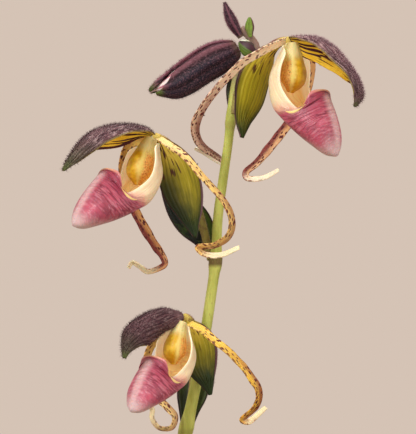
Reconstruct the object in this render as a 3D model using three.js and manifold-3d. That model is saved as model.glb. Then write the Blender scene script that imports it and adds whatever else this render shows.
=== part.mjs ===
// A potted slipper orchid in flower: a clay pot, bark mix, a fan of strap leaves and one
// flowering stem with three open flowers, a large bud and a small bud.
// Millimetres, +Z up. The origin is the middle of the pot's flat underside.
import * as THREE from 'three';
import { mergeVertices } from 'three/addons/utils/BufferGeometryUtils.js';
import Module from 'manifold-3d';

const wasm = await Module();
wasm.setup();

const DEG = Math.PI / 180;

// Driving dimensions of the pot
const POT_HEIGHT = 150;
const POT_RIM_RADIUS = 88;
const POT_FOOT_RADIUS = 61;
const POT_WALL = 6;
const POT_FLOOR = 9;
const RIM_BAND_HEIGHT = 27;
const RIM_BAND_STEP = 3;
const DRAIN_RADIUS = 6;
const DRAIN_PLACE = 34;
const DRAIN_COUNT = 3;
const POT_SIDES = 36;

// Driving dimensions of the bark mix
const MIX_LEVEL = 130;
const CHIP_COUNT = 46;
const CHIP_LENGTH = 25;
const CHIP_WIDTH = 17;
const CHIP_DEPTH = 9;
const CROWN_HOLE = { x: 27, y: 17, depth: 24 };

// The gap that neighbouring pieces keep
const GAP = 0.3;

// Driving dimensions of the leaves, oldest and outermost first
const LEAF_THICKNESS = 1.6;
const LEAF_STEPS = 14;
const LEAVES = [
  { side: -1, turn: 9, keel: 21, base: 17, length: 345, width: 80, rise: 60, droop: -52 },
  { side: 1, turn: -8, keel: 21, base: 17, length: 350, width: 82, rise: 62, droop: -50 },
  { side: -1, turn: -12, keel: 14.5, base: 10.5, length: 335, width: 80, rise: 74, droop: -44 },
  { side: 1, turn: 13, keel: 14.5, base: 10.5, length: 325, width: 78, rise: 75, droop: -42 },
  { side: -1, turn: 5, keel: 8.5, base: 4.5, length: 275, width: 70, rise: 84, droop: -22 },
  { side: 1, turn: -4, keel: 8.5, base: 4.5, length: 235, width: 62, rise: 86, droop: -8 },
];

// The flowering stem: its course, from the crown to its last node
const STEM_COURSE = [
  [0, 0, 108], [0, 0, 150], [0.5, 0, 200], [4.5, 0, 265], [12, 0, 325], [20, 0, 370], [26, 0, 394],
  [29.5, 0, 410], [33, 0, 428], [36, 0, 447], [38, 0, 462], [39, 0, 480], [41, 0, 495], [43, 0, 509],
  [44.2, 0, 520], [45.2, 1, 529], [46.8, 2, 537], [49.6, 3, 542.4], [53.4, 4, 545.2],
  [54.4, 4, 548.6], [51.8, 3, 552.4], [48.2, 2, 555.8],
];
const STEM_FOOT_RADIUS = 3.1;
const STEM_TOP_RADIUS = 1.5;
const STEM_NODES = [
  { height: 396, swell: 1.3 },
  { height: 462.5, swell: 1.35 },
  { height: 519.5, swell: 1.25 },
];
const STEM_SIDES = 10;
const STEM_STEPS = 36;

// Driving dimensions of a flower's parts
const SEPAL_THICKNESS = 0.9;
const PETAL_THICKNESS = 0.9;
const PETAL_HALF_WIDTH = 2.1;
const POUCH_WALL = 1;
const BRACT_THICKNESS = 0.8;
const BRACT_BEND = -0.8;
// The half width of each blade as a share of its widest, from its foot to its tip. The ends of a sepal
// are given with the flower.
const HOOD_OUTLINE = [0.68, 0.91, 1, 0.99, 0.9, 0.71, 0.42];
const SYNSEPAL_OUTLINE = [0.44, 0.75, 0.95, 1, 0.9, 0.66, 0.34];
const BRACT_OUTLINE = [0.36, 0.52, 0.7, 0.92, 1, 0.93, 0.74, 0.44, 0.08];
const OVARY_RADIUS = 1.9;

// A flower's own frame is [forward, across, up] from the joint where all its parts meet.
// The pouch, as rings from its toe to its rim. A ring runs from its back over one side to its front.
const POUCH_TOE_RINGS = [
  { back: [34, -34.2], front: [34.9, -32.8], half: 1.3, sag: 0 },
  { back: [31, -34.8], front: [33.6, -29], half: 4.8, sag: 0 },
  { back: [25, -33.6], front: [31, -24.2], half: 8, sag: 0 },
  { back: [17, -31.2], front: [27.6, -19.4], half: 9.6, sag: 1.5 },
  { back: [9.4, -27.6], front: [24.8, -16], half: 10, sag: 3.6 },
  { back: [2, -22], front: [23.2, -14.2], half: 10, sag: 6.2 },
];
const POUCH_THROAT = [
  [-3.2, 0, -12], [-1, 5.6, -12.4], [2.6, 9.8, -15.8], [8.4, 10.4, -21], [17, 9.2, -23.6],
  [21.4, 7.4, -17.8], [22, 0, -13.4],
];
const POUCH_RIM = [
  [-2.6, 0, -2.2], [4.2, 8.2, -4.4], [5.8, 10.6, -9.6], [8.4, 10.2, -16], [18, 8, -21.4],
  [19.6, 7, -14.2], [20.6, 0, -12.8],
];
const POUCH_MERIDIANS = 18;
const POUCH_RINGS = 9;
// The column and the shield at its end, with the radius across and along at each point
const COLUMN_COURSE = [
  [0.6, 0, -0.4], [2.4, 0, -4], [4.2, 0, -8], [5.6, 0, -11.4], [6.4, 0, -14.8], [6.6, 0, -18],
];
const COLUMN_RADIUS = [2.6, 3.3, 4.2, 5, 4.5, 1.4];

// The flowers. "at" is the joint in the plant's frame. In a stance, "faces" is the compass angle that
// the pouch or the hood looks to, with 0 along +X, "nod" how far it hangs down and "girth" its width
// over its length. A hood's "lean" tips it to one side, and "bend" is the angle that its half section
// turns through, both read from its foot to its tip. The courses of the petals, the lower sepal, the
// ovary and the bract are measured from the joint along X, Y and Z. A petal's "tilt" is how far its
// face turns to the front along it, in degrees.
const FLOWERS = {
  upper: {
    at: [66.8, -22, 547],
    stance: { faces: -36, nod: 21.5, scale: 1.005, girth: 1 },
    hood: {
      stance: { faces: -30, nod: 24, scale: 0.97, girth: 1 },
      midrib: [
        [-0.5, 0, 1], [5.6, 0, 2.4], [12.9, 0, 4.4], [20, 0, 3.5], [26.9, 0, 0.4], [33.1, 0, -3.7],
        [36, 0, -8.2], [35.9, 0, -13.4],
      ],
      halfWidth: 10.2,
      foot: 2.5,
      lean: [-0.8, -0.58, -0.56, -0.54, -0.39],
      bend: [1.2, 1.4, 1.25, 0.8, 0.45],
      fold: 0,
    },
    petalLeft: [
      [-2.4, -3.4, 0.2], [-10.5, -9, -4], [-19, -14, -9.5], [-25, -16.5, -15.5], [-31, -15.5, -22],
      [-35, -11.5, -28], [-36.8, -5, -33], [-36, 4, -37], [-33.6, 14, -39.6], [-30.6, 22, -41.4],
      [-27.6, 28, -43.2], [-25, 32, -45], [-28, 34, -43.8], [-32.4, 33, -41.2], [-37, 30, -38.8],
    ],
    petalLeftTilt: [34, 34, 36, 42, 46, 46, 44, 42],
    petalRight: [
      [2.4, 3.6, 0], [6.5, 10, -1.5], [8.8, 15, -6], [8.4, 18.5, -13], [6, 20, -20],
      [2.5, 20, -26.5], [-1.5, 19, -32], [-7, 16, -39], [-12.5, 12, -45.5], [-17, 8.5, -49.5],
      [-16.4, 5, -52.2], [-11, 2.6, -52.2], [-4.5, 1, -49],
    ],
    petalRightTilt: [42, 42, 50, 74, 84, 76, 50, 42],
    synsepal: [
      [-2.9, 2.6, 0.4], [-8.4, 5, -4.4], [-12.3, 7, -12.5], [-15, 9, -21], [-17.8, 9, -29],
      [-18.6, 7.5, -36.2],
    ],
    synsepalSide: [0.85, 0.5, 0.1],
    synsepalHalfWidth: 8.9,
    ovary: [
      [-21.2, 20.6, -26], [-20, 21.5, -18], [-16, 20, -10], [-10.5, 16, -3.5], [-5, 9, 0.6],
      [-1.2, 2.6, 0.6],
    ],
    bract: [[-21, 21.6, -27], [-20.8, 25.5, -20], [-18.6, 27.5, -12], [-16, 26, -5], [-13, 23.5, -0.5]],
    bractSide: [0.95, 0.1, 0.25],
    bractHalfWidth: 5.3,
  },
  middle: {
    at: [13.7, -24, 510.1],
    stance: { faces: 218, nod: -0.6, scale: 1, girth: 1 },
    hood: {
      stance: { faces: 212, nod: 0, scale: 0.96, girth: 1 },
      midrib: [
        [-0.5, 0, 1.5], [4.3, 0, 3.2], [12.1, 0, 3.9], [19.7, 0, 3.5], [27.1, 0, 1.1],
        [32.4, 0, -3.8], [36.4, 0, -9.4], [39.1, 0, -13.6],
      ],
      halfWidth: 11.4,
      foot: 2.1,
      lean: [0.2, 0.32, 0.23, 0.1, -0.19],
      bend: [0.75, 1.14, 1.32, 1.41, 1.46],
      fold: 0,
    },
    petalLeft: [
      [-2.4, 3.4, -0.4], [-8.5, 11, -1.6], [-11.8, 17.5, -5.5], [-12.6, 20.5, -11.5],
      [-11, 21, -18.5], [-8.4, 20, -26], [-4.4, 18, -33.5], [-0.4, 16, -40], [3.4, 14, -45.6],
      [4.2, 12.4, -48.4], [2, 11, -50], [-2.2, 10, -51.2], [-5, 8, -49.2], [-8, 7, -47.4],
      [-9.6, 7, -49.8],
    ],
    petalLeftTilt: [42, 42, 52, 76, 86, 74, 46, 42],
    petalRight: [
      [2.6, -3.4, -0.4], [7, -8, -3.6], [12, -13, -7.5], [16.5, -16.5, -12.2], [21, -18.5, -17.5],
      [25.4, -18.5, -22.5], [28.8, -17, -27.5], [30, -14.5, -33], [28.4, -11, -37.6],
      [23.5, -6.5, -40.6], [17.4, -3, -41.6], [19.4, -5, -44], [26, -8.6, -44.4], [33, -11, -41.4],
    ],
    petalRightTilt: [36, 32, 31, 33, 38, 42, 42, 42],
    synsepal: [
      [2.8, 2.8, 0], [8.6, 6, -8], [12, 9, -17], [14, 10, -25.5], [15.3, 9, -33], [16.4, 7.5, -38],
    ],
    synsepalSide: [0.84, 0.52, 0.12],
    synsepalHalfWidth: 9.7,
    ovary: [
      [22.4, 24, -47], [20.6, 27, -39.5], [18, 28, -29.5], [14.5, 26.5, -19.5], [10.5, 20.5, -9],
      [5.4, 11, -1.6], [1.4, 3, 0.4],
    ],
    bract: [[23.9, 26.4, -46], [19.8, 31, -38.6], [14.2, 34, -31.4], [8.4, 34, -24.4], [2.2, 32, -17]],
    bractSide: [0.8, 0.15, 0.55],
    bractHalfWidth: 8.2,
  },
  lower: {
    at: [25, -18, 439.9],
    stance: { faces: 231, nod: 3.4, scale: 0.885, girth: 0.95 },
    hood: {
      stance: { faces: 228, nod: 0, scale: 0.88, girth: 1 },
      midrib: [
        [-0.5, 0, 3], [5.6, 0, 3.3], [12.3, 0, 2], [20.1, 0, 0.2], [26.2, 0, -1.7], [30.6, 0, -4.3],
        [33.4, 0, -7.4], [34.9, 0, -10.4], [35.5, 0, -13.4],
      ],
      halfWidth: 9.4,
      foot: 2.4,
      lean: [-0.8, -1.12, -0.89, -0.65, -0.42],
      bend: [0.8, 1.28, 1.27, 0.83, 0.44],
      fold: 0.2,
    },
    petalLeft: [
      [-3.2, 2.4, -0.2], [-6.9, 9, -4], [-11, 14, -8.5], [-14.1, 16.5, -14], [-14.9, 17.5, -20.5],
      [-13.3, 17.5, -27], [-10.3, 16.5, -32], [-6.5, 15, -35.5], [-3.3, 13, -39],
      [-4.5, 10.5, -42.6], [-8.9, 8.4, -42.6], [-11.7, 7, -39], [-11.7, 5, -34.6], [-14.3, 3, -33.4],
    ],
    petalLeftTilt: [42, 42, 44, 46, 46, 44, 42, 42],
    petalRight: [
      [2.8, -2.8, -0.8], [7.6, -7, -3], [12.3, -10.6, -6.6], [17, -13.4, -10.2],
      [21.7, -14.6, -14.8], [25.9, -14.2, -19.8], [28.7, -12.2, -24.6], [28.9, -9.2, -29.6],
      [26.5, -6, -33.8], [23.1, -3.6, -37.4], [25.7, -1, -38.8], [32.5, 1.6, -33.6],
    ],
    petalRightTilt: [34, 32, 33, 38, 44, 46, 44, 42],
    synsepal: [
      [1.6, 3, -0.2], [5.4, 6, -5.6], [7.2, 8.6, -11.8], [8.2, 9.8, -18], [9.6, 9.8, -24],
      [11, 8.6, -29.8],
    ],
    synsepalSide: [0.85, 0.5, 0.05],
    synsepalHalfWidth: 8.5,
    ovary: [
      [2.3, 21.2, -44.6], [3.1, 27, -36.5], [4.1, 29.5, -26], [4.5, 28, -16], [4.1, 22, -7],
      [2.7, 12, -1], [0.8, 3.4, 0.8],
    ],
    bract: [[1.4, 23.4, -46], [2.6, 31, -38], [4.2, 35, -29], [5.4, 36, -20], [5.6, 34.5, -11]],
    bractSide: [1, 0.05, 0.05],
    bractHalfWidth: 7.3,
  },
};

// The large bud, along its axis from its short stalk to its tip, and its radius there
const BUD_AXIS = [
  [47.6, 2.6, 548.7], [43.2, 2, 546.1], [38.7, 1.3, 543.8], [34.2, 0.6, 541.3], [30, -0.1, 538.5],
  [25.8, -0.8, 535.6], [21.4, -1.4, 533.1], [16.5, -2, 531.6], [11.8, -2.4, 529.8],
];
const BUD_RADIUS = [2.2, 4.7, 6.1, 6.3, 6.2, 6.1, 5.4, 3.2, 0.7];
const BUD_SEPAL_THICKNESS = 1.1;
const BUD_RIDGE = 0.35;
// The side that each valve of the bud faces, and how far it spreads to both sides of it in degrees,
// from the foot to the tip
const BUD_UPPER_VALVE = { faces: 160, spread: [44, 46, 46, 44, 40, 36, 34, 66, 108] };
const BUD_LOWER_VALVE = { faces: -20, spread: [130, 128, 127, 127, 126, 122, 112, 80, 20] };
const BUD_STALK = [[52, 2.4, 548.6], [50.4, 1.4, 549.9], [48, 1.4, 549.9]];
const BUD_BRACT = [[54.6, -1.8, 544.6], [51.8, -2.8, 546.2], [48.8, -2, 548.4], [47.4, -1, 550]];
// The small bud on the stem's end
const SMALL_BUD_AXIS = [
  [48.2, 1.2, 552], [46.4, 0.8, 554.8], [44.4, 0.3, 558.4], [42.8, -0.2, 562.2], [41.6, -0.6, 565.8],
];
const SMALL_BUD_RADIUS = [1.1, 1.9, 2.2, 1.6, 0.6];
const SMALL_BRACT = [[52, 0.4, 552], [51.8, 0.2, 555], [51.6, 0, 560]];

const MATERIALS = {
  clay: new THREE.MeshStandardMaterial({ color: 0xb5683f, roughness: 0.9, metalness: 0 }),
  bark: new THREE.MeshStandardMaterial({ color: 0x5b3d28, roughness: 0.95, metalness: 0 }),
  leaf: new THREE.MeshStandardMaterial({ color: 0x3f6b2a, roughness: 0.45, metalness: 0 }),
  stem: new THREE.MeshStandardMaterial({ color: 0xbcb155, roughness: 0.7, metalness: 0 }),
  bract: new THREE.MeshStandardMaterial({ color: 0x2f4316, roughness: 0.6, metalness: 0 }),
  hood: new THREE.MeshStandardMaterial({ color: 0x5b3c46, roughness: 0.75, metalness: 0 }),
  sepal: new THREE.MeshStandardMaterial({ color: 0x8c8420, roughness: 0.6, metalness: 0 }),
  petal: new THREE.MeshStandardMaterial({ color: 0xcf9443, roughness: 0.6, metalness: 0 }),
  pouch: new THREE.MeshStandardMaterial({ color: 0xc26b84, roughness: 0.5, metalness: 0 }),
  column: new THREE.MeshStandardMaterial({ color: 0xd5b33a, roughness: 0.6, metalness: 0 }),
  bud: new THREE.MeshStandardMaterial({ color: 0x4a2c36, roughness: 0.75, metalness: 0 }),
};

const vec = (point) => new THREE.Vector3(...point);

// A seeded random number from 0 to 1
function seededRandom(seed) {
  let state = seed;
  return () => {
    state = (Math.imul(state, 1664525) + 1013904223) >>> 0;
    return state / 4294967296;
  };
}

// A value read off a list of evenly spaced values, smoothly
function smoothList(values) {
  const curve = new THREE.SplineCurve(values.map((value, i) => new THREE.Vector2(i, value)));
  return (t) => curve.getPoint(THREE.MathUtils.clamp(t, 0, 1)).y;
}

// A geometry from points and triangles, turned so that its faces point out
function solidFrom(points, triangles) {
  const geometry = new THREE.BufferGeometry();
  const positions = points.flatMap((point) => point.toArray());
  geometry.setAttribute('position', new THREE.Float32BufferAttribute(positions, 3));
  let volume = 0;
  for (const [a, b, c] of triangles) {
    volume += points[a].dot(points[b].clone().cross(points[c]));
  }
  const order = volume < 0 ? triangles.map(([a, b, c]) => [a, c, b]) : triangles;
  geometry.setIndex(order.flat());
  geometry.computeVertexNormals();
  return geometry;
}

// The slope of a grid of points across its two directions, as a unit normal
function gridNormal(grid, i, j, wrap) {
  const rows = grid.length;
  const columns = grid[0].length;
  const up = grid[Math.min(i + 1, rows - 1)][j];
  const down = grid[Math.max(i - 1, 0)][j];
  const right = wrap ? grid[i][(j + 1) % columns] : grid[i][Math.min(j + 1, columns - 1)];
  const left = wrap ? grid[i][(j + columns - 1) % columns] : grid[i][Math.max(j - 1, 0)];
  return up.clone().sub(down).cross(right.clone().sub(left)).normalize();
}

// A closed sheet: a grid of points given a thickness, either across both sides of the grid
// (share 0.5) or to one side. A wrapped grid is a ring across, closed at its first row by a cap.
function sheet(grid, thickness, { wrap = false, share = 0.5 } = {}) {
  const rows = grid.length;
  const columns = grid[0].length;
  const points = [];
  for (const shift of [thickness * share, thickness * (share - 1)]) {
    for (let i = 0; i < rows; i += 1) {
      for (let j = 0; j < columns; j += 1) {
        points.push(grid[i][j].clone().addScaledVector(gridNormal(grid, i, j, wrap), shift));
      }
    }
  }
  const layer = rows * columns;
  const at = (i, j) => i * columns + (j % columns);
  const triangles = [];
  const quad = (a, b, c, d) => triangles.push([a, b, c], [a, c, d]);
  const last = wrap ? columns : columns - 1;
  for (let i = 0; i < rows - 1; i += 1) {
    for (let j = 0; j < last; j += 1) {
      const corners = [at(i, j), at(i + 1, j), at(i + 1, j + 1), at(i, j + 1)];
      quad(...corners);
      const [a, b, c, d] = corners.map((corner) => corner + layer);
      triangles.push([a, c, b], [a, d, c]);
    }
  }
  for (let j = 0; j < last; j += 1) {
    const end = rows - 1;
    quad(at(end, j), at(end, j) + layer, at(end, j + 1) + layer, at(end, j + 1));
    if (!wrap) {
      quad(at(0, j + 1), at(0, j + 1) + layer, at(0, j) + layer, at(0, j));
    }
  }
  if (wrap) {
    for (const base of [0, layer]) {
      const centre = new THREE.Vector3();
      for (let j = 0; j < columns; j += 1) {
        centre.addScaledVector(points[base + j], 1 / columns);
      }
      points.push(centre);
      const pole = points.length - 1;
      for (let j = 0; j < columns; j += 1) {
        const pair = [base + j, base + ((j + 1) % columns)];
        triangles.push(base === 0 ? [pole, pair[0], pair[1]] : [pole, pair[1], pair[0]]);
      }
    }
  } else {
    const edge = columns - 1;
    for (let i = 0; i < rows - 1; i += 1) {
      quad(at(i, 0), at(i, 0) + layer, at(i + 1, 0) + layer, at(i + 1, 0));
      quad(at(i + 1, edge), at(i + 1, edge) + layer, at(i, edge) + layer, at(i, edge));
    }
  }
  return solidFrom(points, triangles);
}

// The frame of a strip along a curve: its point, its direction, its side and its face normal
function stripFrame(curve, t, sideAt) {
  const point = curve.getPointAt(t);
  const along = curve.getTangentAt(t);
  const side = sideAt(t, along).clone();
  side.addScaledVector(along, -side.dot(along)).normalize();
  const face = new THREE.Vector3().crossVectors(along, side);
  return { point, along, side, face };
}

// A blade: a strip along a course, bent across by an arc, and by a keel that folds its halves.
// Its steps crowd together towards its two ends.
function blade({ course, sideAt, halfWidth, arc, keel = () => 0, thickness, steps, across, crowd = 0 }) {
  const curve = new THREE.CatmullRomCurve3(course.map(vec), false, 'centripetal');
  const grid = [];
  for (let i = 0; i <= steps; i += 1) {
    const even = i / steps;
    const t = THREE.MathUtils.lerp(even, (1 - Math.cos(Math.PI * even)) / 2, crowd);
    const frame = stripFrame(curve, t, sideAt);
    const row = [];
    for (let j = 0; j <= across; j += 1) {
      const u = (2 * j) / across - 1;
      const bend = Math.max(Math.abs(arc(t)), 1e-3) * Math.sign(arc(t) || 1);
      const radius = halfWidth(t) / bend;
      const flat = radius * Math.sin(bend * u);
      const lift = radius * (1 - Math.cos(bend * u));
      const fold = keel(t);
      const sideways = flat * Math.cos(fold);
      const upward = lift + Math.abs(flat) * Math.sin(fold);
      const point = frame.point.clone().addScaledVector(frame.side, sideways);
      row.push(point.addScaledVector(frame.face, upward));
    }
    grid.push(row);
  }
  return sheet(grid, thickness);
}

// A round stalk along a course with a radius that changes
function stalk({ course, radius, steps, sides, flatten = 1 }) {
  const curve = new THREE.CatmullRomCurve3(course.map(vec), false, 'centripetal');
  const frames = curve.computeFrenetFrames(steps, false);
  const points = [];
  const triangles = [];
  for (let i = 0; i <= steps; i += 1) {
    const t = i / steps;
    const centre = curve.getPointAt(t);
    for (let j = 0; j < sides; j += 1) {
      const angle = (2 * Math.PI * j) / sides;
      points.push(centre.clone()
        .addScaledVector(frames.normals[i], radius(t) * flatten * Math.cos(angle))
        .addScaledVector(frames.binormals[i], radius(t) * Math.sin(angle)));
    }
  }
  for (let i = 0; i < steps; i += 1) {
    for (let j = 0; j < sides; j += 1) {
      const next = (j + 1) % sides;
      const [a, b] = [i * sides + j, i * sides + next];
      triangles.push([a, b, b + sides], [a, b + sides, a + sides]);
    }
  }
  points.push(curve.getPointAt(0), curve.getPointAt(1));
  const foot = points.length - 2;
  const head = points.length - 1;
  for (let j = 0; j < sides; j += 1) {
    const next = (j + 1) % sides;
    triangles.push([foot, next, j], [head, steps * sides + j, steps * sides + next]);
  }
  return solidFrom(points, triangles);
}

// A closed mesh as a solid for joining and cutting
function toSolid(geometry) {
  const bare = geometry.clone();
  bare.deleteAttribute('normal');
  bare.deleteAttribute('uv');
  const merged = mergeVertices(bare, 1e-4);
  return new wasm.Manifold(new wasm.Mesh({
    numProp: 3,
    vertProperties: new Float32Array(merged.getAttribute('position').array),
    triVerts: new Uint32Array(merged.getIndex().array),
  }));
}

// The largest body of a solid, as a geometry
function toGeometry(solid) {
  const bodies = solid.decompose();
  const largest = bodies.reduce((best, body) => (body.volume() > best.volume() ? body : best));
  const mesh = largest.getMesh();
  const geometry = new THREE.BufferGeometry();
  geometry.setAttribute('position', new THREE.BufferAttribute(new Float32Array(mesh.vertProperties), 3));
  geometry.setIndex(new THREE.BufferAttribute(new Uint32Array(mesh.triVerts), 1));
  geometry.computeVertexNormals();
  return geometry;
}

// A copy of a piece grown by the gap on all sides
function grown(geometry, gap) {
  const bare = geometry.clone();
  bare.deleteAttribute('normal');
  const merged = mergeVertices(bare, 1e-4);
  merged.computeVertexNormals();
  const position = merged.getAttribute('position');
  const normal = merged.getAttribute('normal');
  for (let i = 0; i < position.count; i += 1) {
    position.setXYZ(
      i,
      position.getX(i) + normal.getX(i) * gap,
      position.getY(i) + normal.getY(i) * gap,
      position.getZ(i) + normal.getZ(i) * gap,
    );
  }
  return merged;
}

const orchid = new THREE.Group();
orchid.name = 'potted_slipper_orchid';
const placed = [];

// Adds a piece, first cutting it clear of the pieces that are already there and reach into it
function addPiece(name, geometry, material) {
  geometry.computeBoundingBox();
  const reach = geometry.boundingBox.clone().expandByScalar(GAP);
  let clear = geometry;
  for (const other of placed) {
    if (!reach.intersectsBox(other.geometry.boundingBox)) {
      continue;
    }
    const solid = toSolid(clear);
    const space = toSolid(grown(other.geometry, GAP));
    if (solid.intersect(space).volume() > 1e-4) {
      clear = toGeometry(solid.subtract(space));
    }
  }
  clear.computeBoundingBox();
  const mesh = new THREE.Mesh(clear, material);
  mesh.name = name;
  orchid.add(mesh);
  placed.push(mesh);
}

// The radius of the pot's inside at a height
function potInside(height) {
  const share = height / POT_HEIGHT;
  return POT_FOOT_RADIUS + (POT_RIM_RADIUS - RIM_BAND_STEP - POT_FOOT_RADIUS) * share - POT_WALL;
}

function clayPot() {
  const bandFoot = POT_HEIGHT - RIM_BAND_HEIGHT;
  const outside = (height) => potInside(height) + POT_WALL;
  const profile = [
    [0, 0], [POT_FOOT_RADIUS - 1.5, 0], [POT_FOOT_RADIUS, 1.5], [outside(bandFoot), bandFoot],
    [outside(bandFoot) + RIM_BAND_STEP, bandFoot + 2.5], [POT_RIM_RADIUS, POT_HEIGHT - 2],
    [POT_RIM_RADIUS - 2, POT_HEIGHT], [potInside(POT_HEIGHT) + 2, POT_HEIGHT],
    [potInside(POT_HEIGHT), POT_HEIGHT - 2], [potInside(POT_FLOOR + 4), POT_FLOOR + 4],
    [potInside(POT_FLOOR) - 3, POT_FLOOR], [0, POT_FLOOR],
  ];
  const lathe = new THREE.LatheGeometry(profile.map(([x, y]) => new THREE.Vector2(x, y)), POT_SIDES);
  lathe.rotateX(90 * DEG);
  let pot = toSolid(lathe);
  for (let i = 0; i < DRAIN_COUNT; i += 1) {
    const angle = (360 * DEG * i) / DRAIN_COUNT + 30 * DEG;
    const drain = new THREE.CylinderGeometry(DRAIN_RADIUS, DRAIN_RADIUS, 3 * POT_FLOOR, 12);
    drain.rotateX(90 * DEG);
    drain.translate(DRAIN_PLACE * Math.cos(angle), DRAIN_PLACE * Math.sin(angle), 0);
    pot = pot.subtract(toSolid(drain));
  }
  return toGeometry(pot);
}

// The inside of the pot up to a level, with the gap to its wall
function potFilling(level) {
  const foot = POT_FLOOR + 4 + GAP;
  const profile = [[0, foot], [potInside(foot) - GAP, foot], [potInside(level) - GAP, level], [0, level]];
  const filling = new THREE.LatheGeometry(profile.map(([x, y]) => new THREE.Vector2(x, y)), POT_SIDES);
  filling.rotateX(90 * DEG);
  return toSolid(filling);
}

// A rough block of bark
function barkChip(random) {
  const chip = new THREE.BoxGeometry(
    CHIP_LENGTH * (0.7 + 0.5 * random()),
    CHIP_WIDTH * (0.7 + 0.5 * random()),
    CHIP_DEPTH * (0.7 + 0.5 * random()),
  );
  chip.rotateX((random() - 0.5) * 50 * DEG);
  chip.rotateY((random() - 0.5) * 50 * DEG);
  chip.rotateZ(random() * 360 * DEG);
  return chip;
}

function barkMix() {
  const random = seededRandom(7);
  let mix = potFilling(MIX_LEVEL);
  const goldenAngle = 137.508 * DEG;
  for (let i = 0; i < CHIP_COUNT; i += 1) {
    const radius = (potInside(MIX_LEVEL) - 4) * Math.sqrt((i + 0.5) / CHIP_COUNT);
    const angle = i * goldenAngle;
    const chip = barkChip(random);
    chip.translate(radius * Math.cos(angle), radius * Math.sin(angle), MIX_LEVEL + 2.5 * random());
    mix = mix.add(toSolid(chip));
  }
  mix = mix.intersect(potFilling(POT_HEIGHT - 3));
  const hole = new THREE.CylinderGeometry(1, 1, 2 * CROWN_HOLE.depth, 24);
  hole.rotateX(90 * DEG);
  hole.scale(CROWN_HOLE.x, CROWN_HOLE.y, 1);
  hole.translate(0, 0, MIX_LEVEL);
  return toGeometry(mix.subtract(toSolid(hole)));
}

// A strap leaf: folded round the crown at its foot, then opening and arching over
function strapLeaf({ side, turn, keel, base, length, width, rise, droop }) {
  const heading = (side > 0 ? turn : 180 + turn) * DEG;
  const outward = new THREE.Vector3(Math.cos(heading), Math.sin(heading), 0);
  const foot = new THREE.Vector3(side * keel, 0, MIX_LEVEL - CROWN_HOLE.depth + GAP + 1);
  const footLength = CROWN_HOLE.depth + 6;
  const course = [foot.toArray()];
  const bends = 16;
  const point = foot.clone();
  const straight = new THREE.Vector3(0, 0, footLength / 2);
  for (let i = 0; i < 2; i += 1) {
    point.add(straight);
    course.push(point.toArray());
  }
  for (let i = 0; i < bends; i += 1) {
    const angle = THREE.MathUtils.lerp(rise, droop, (i + 0.5) / bends) * DEG;
    const step = length / bends;
    point.addScaledVector(outward, step * Math.cos(angle));
    point.z += step * Math.sin(angle);
    course.push(point.toArray());
  }
  const across = new THREE.Vector3(-Math.sin(heading), Math.cos(heading), 0);
  const footShare = footLength / (footLength + length);
  const opening = smoothList([0, 0.42, 0.86, 1, 1, 0.98, 0.93, 0.8, 0.12]);
  const beyondFoot = (t) => THREE.MathUtils.clamp((t - footShare) / (1 - footShare), 0, 1);
  return blade({
    course,
    sideAt: () => across,
    halfWidth: (t) => THREE.MathUtils.lerp(base, width / 2, opening(beyondFoot(t))),
    arc: () => 0,
    keel: (t) => 60 * DEG * (1 - beyondFoot(t)) ** 5 + 9 * DEG,
    thickness: LEAF_THICKNESS,
    steps: LEAF_STEPS,
    across: 4,
    crowd: 0.7,
  });
}

function floweringStem() {
  const curve = new THREE.CatmullRomCurve3(STEM_COURSE.map(vec), false, 'centripetal');
  const radius = (t) => {
    const height = curve.getPointAt(t).z;
    let swell = 1;
    for (const node of STEM_NODES) {
      swell += (node.swell - 1) * Math.exp(-(((height - node.height) / 4) ** 2));
    }
    return swell * THREE.MathUtils.lerp(STEM_FOOT_RADIUS, STEM_TOP_RADIUS, t ** 1.6);
  };
  return stalk({ course: STEM_COURSE, radius, steps: STEM_STEPS, sides: STEM_SIDES });
}

// Carries a point of a flower's own frame to the plant's frame
function stancePlace(at, stance) {
  const nod = stance.nod * DEG;
  const faces = stance.faces * DEG;
  return ([forward, across, up]) => {
    const ahead = (forward * Math.cos(nod) + up * Math.sin(nod)) * stance.scale;
    const above = (up * Math.cos(nod) - forward * Math.sin(nod)) * stance.scale;
    const wide = across * stance.scale * stance.girth;
    return [
      at[0] + ahead * Math.cos(faces) - wide * Math.sin(faces),
      at[1] + ahead * Math.sin(faces) + wide * Math.cos(faces),
      at[2] + above,
    ];
  };
}

const fromJoint = (flower, course) => course.map((point) => point.map((value, i) => value + flower.at[i]));

// The half width of a pointed sepal along it
function sepalOutline(outline, halfWidth, foot, tip) {
  const shape = smoothList([foot / halfWidth, ...outline, tip / halfWidth]);
  return (t) => halfWidth * shape(t);
}

function hoodSepal({ at, hood }) {
  const faces = hood.stance.faces * DEG;
  const across = new THREE.Vector3(-Math.sin(faces), Math.cos(faces), 0);
  const upright = new THREE.Vector3(0, 0, 1);
  const lean = smoothList(hood.lean);
  const bend = smoothList(hood.bend);
  const leaning = (angle) => (
    across.clone().multiplyScalar(Math.cos(angle)).addScaledVector(upright, Math.sin(angle))
  );
  return blade({
    course: hood.midrib.map(stancePlace(at, hood.stance)),
    sideAt: (t) => leaning(lean(t)),
    halfWidth: sepalOutline(HOOD_OUTLINE, hood.halfWidth * hood.stance.scale, hood.foot, 0.9),
    arc: (t) => -bend(t),
    keel: () => -hood.fold,
    thickness: SEPAL_THICKNESS,
    steps: 12,
    across: 6,
  });
}

function lowerSepal(flower) {
  return blade({
    course: fromJoint(flower, flower.synsepal),
    sideAt: () => vec(flower.synsepalSide),
    halfWidth: sepalOutline(SYNSEPAL_OUTLINE, flower.synsepalHalfWidth, 1.8, 0.8),
    arc: (t) => -0.75 + 0.25 * t,
    thickness: SEPAL_THICKNESS,
    steps: 12,
    across: 6,
  });
}

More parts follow.
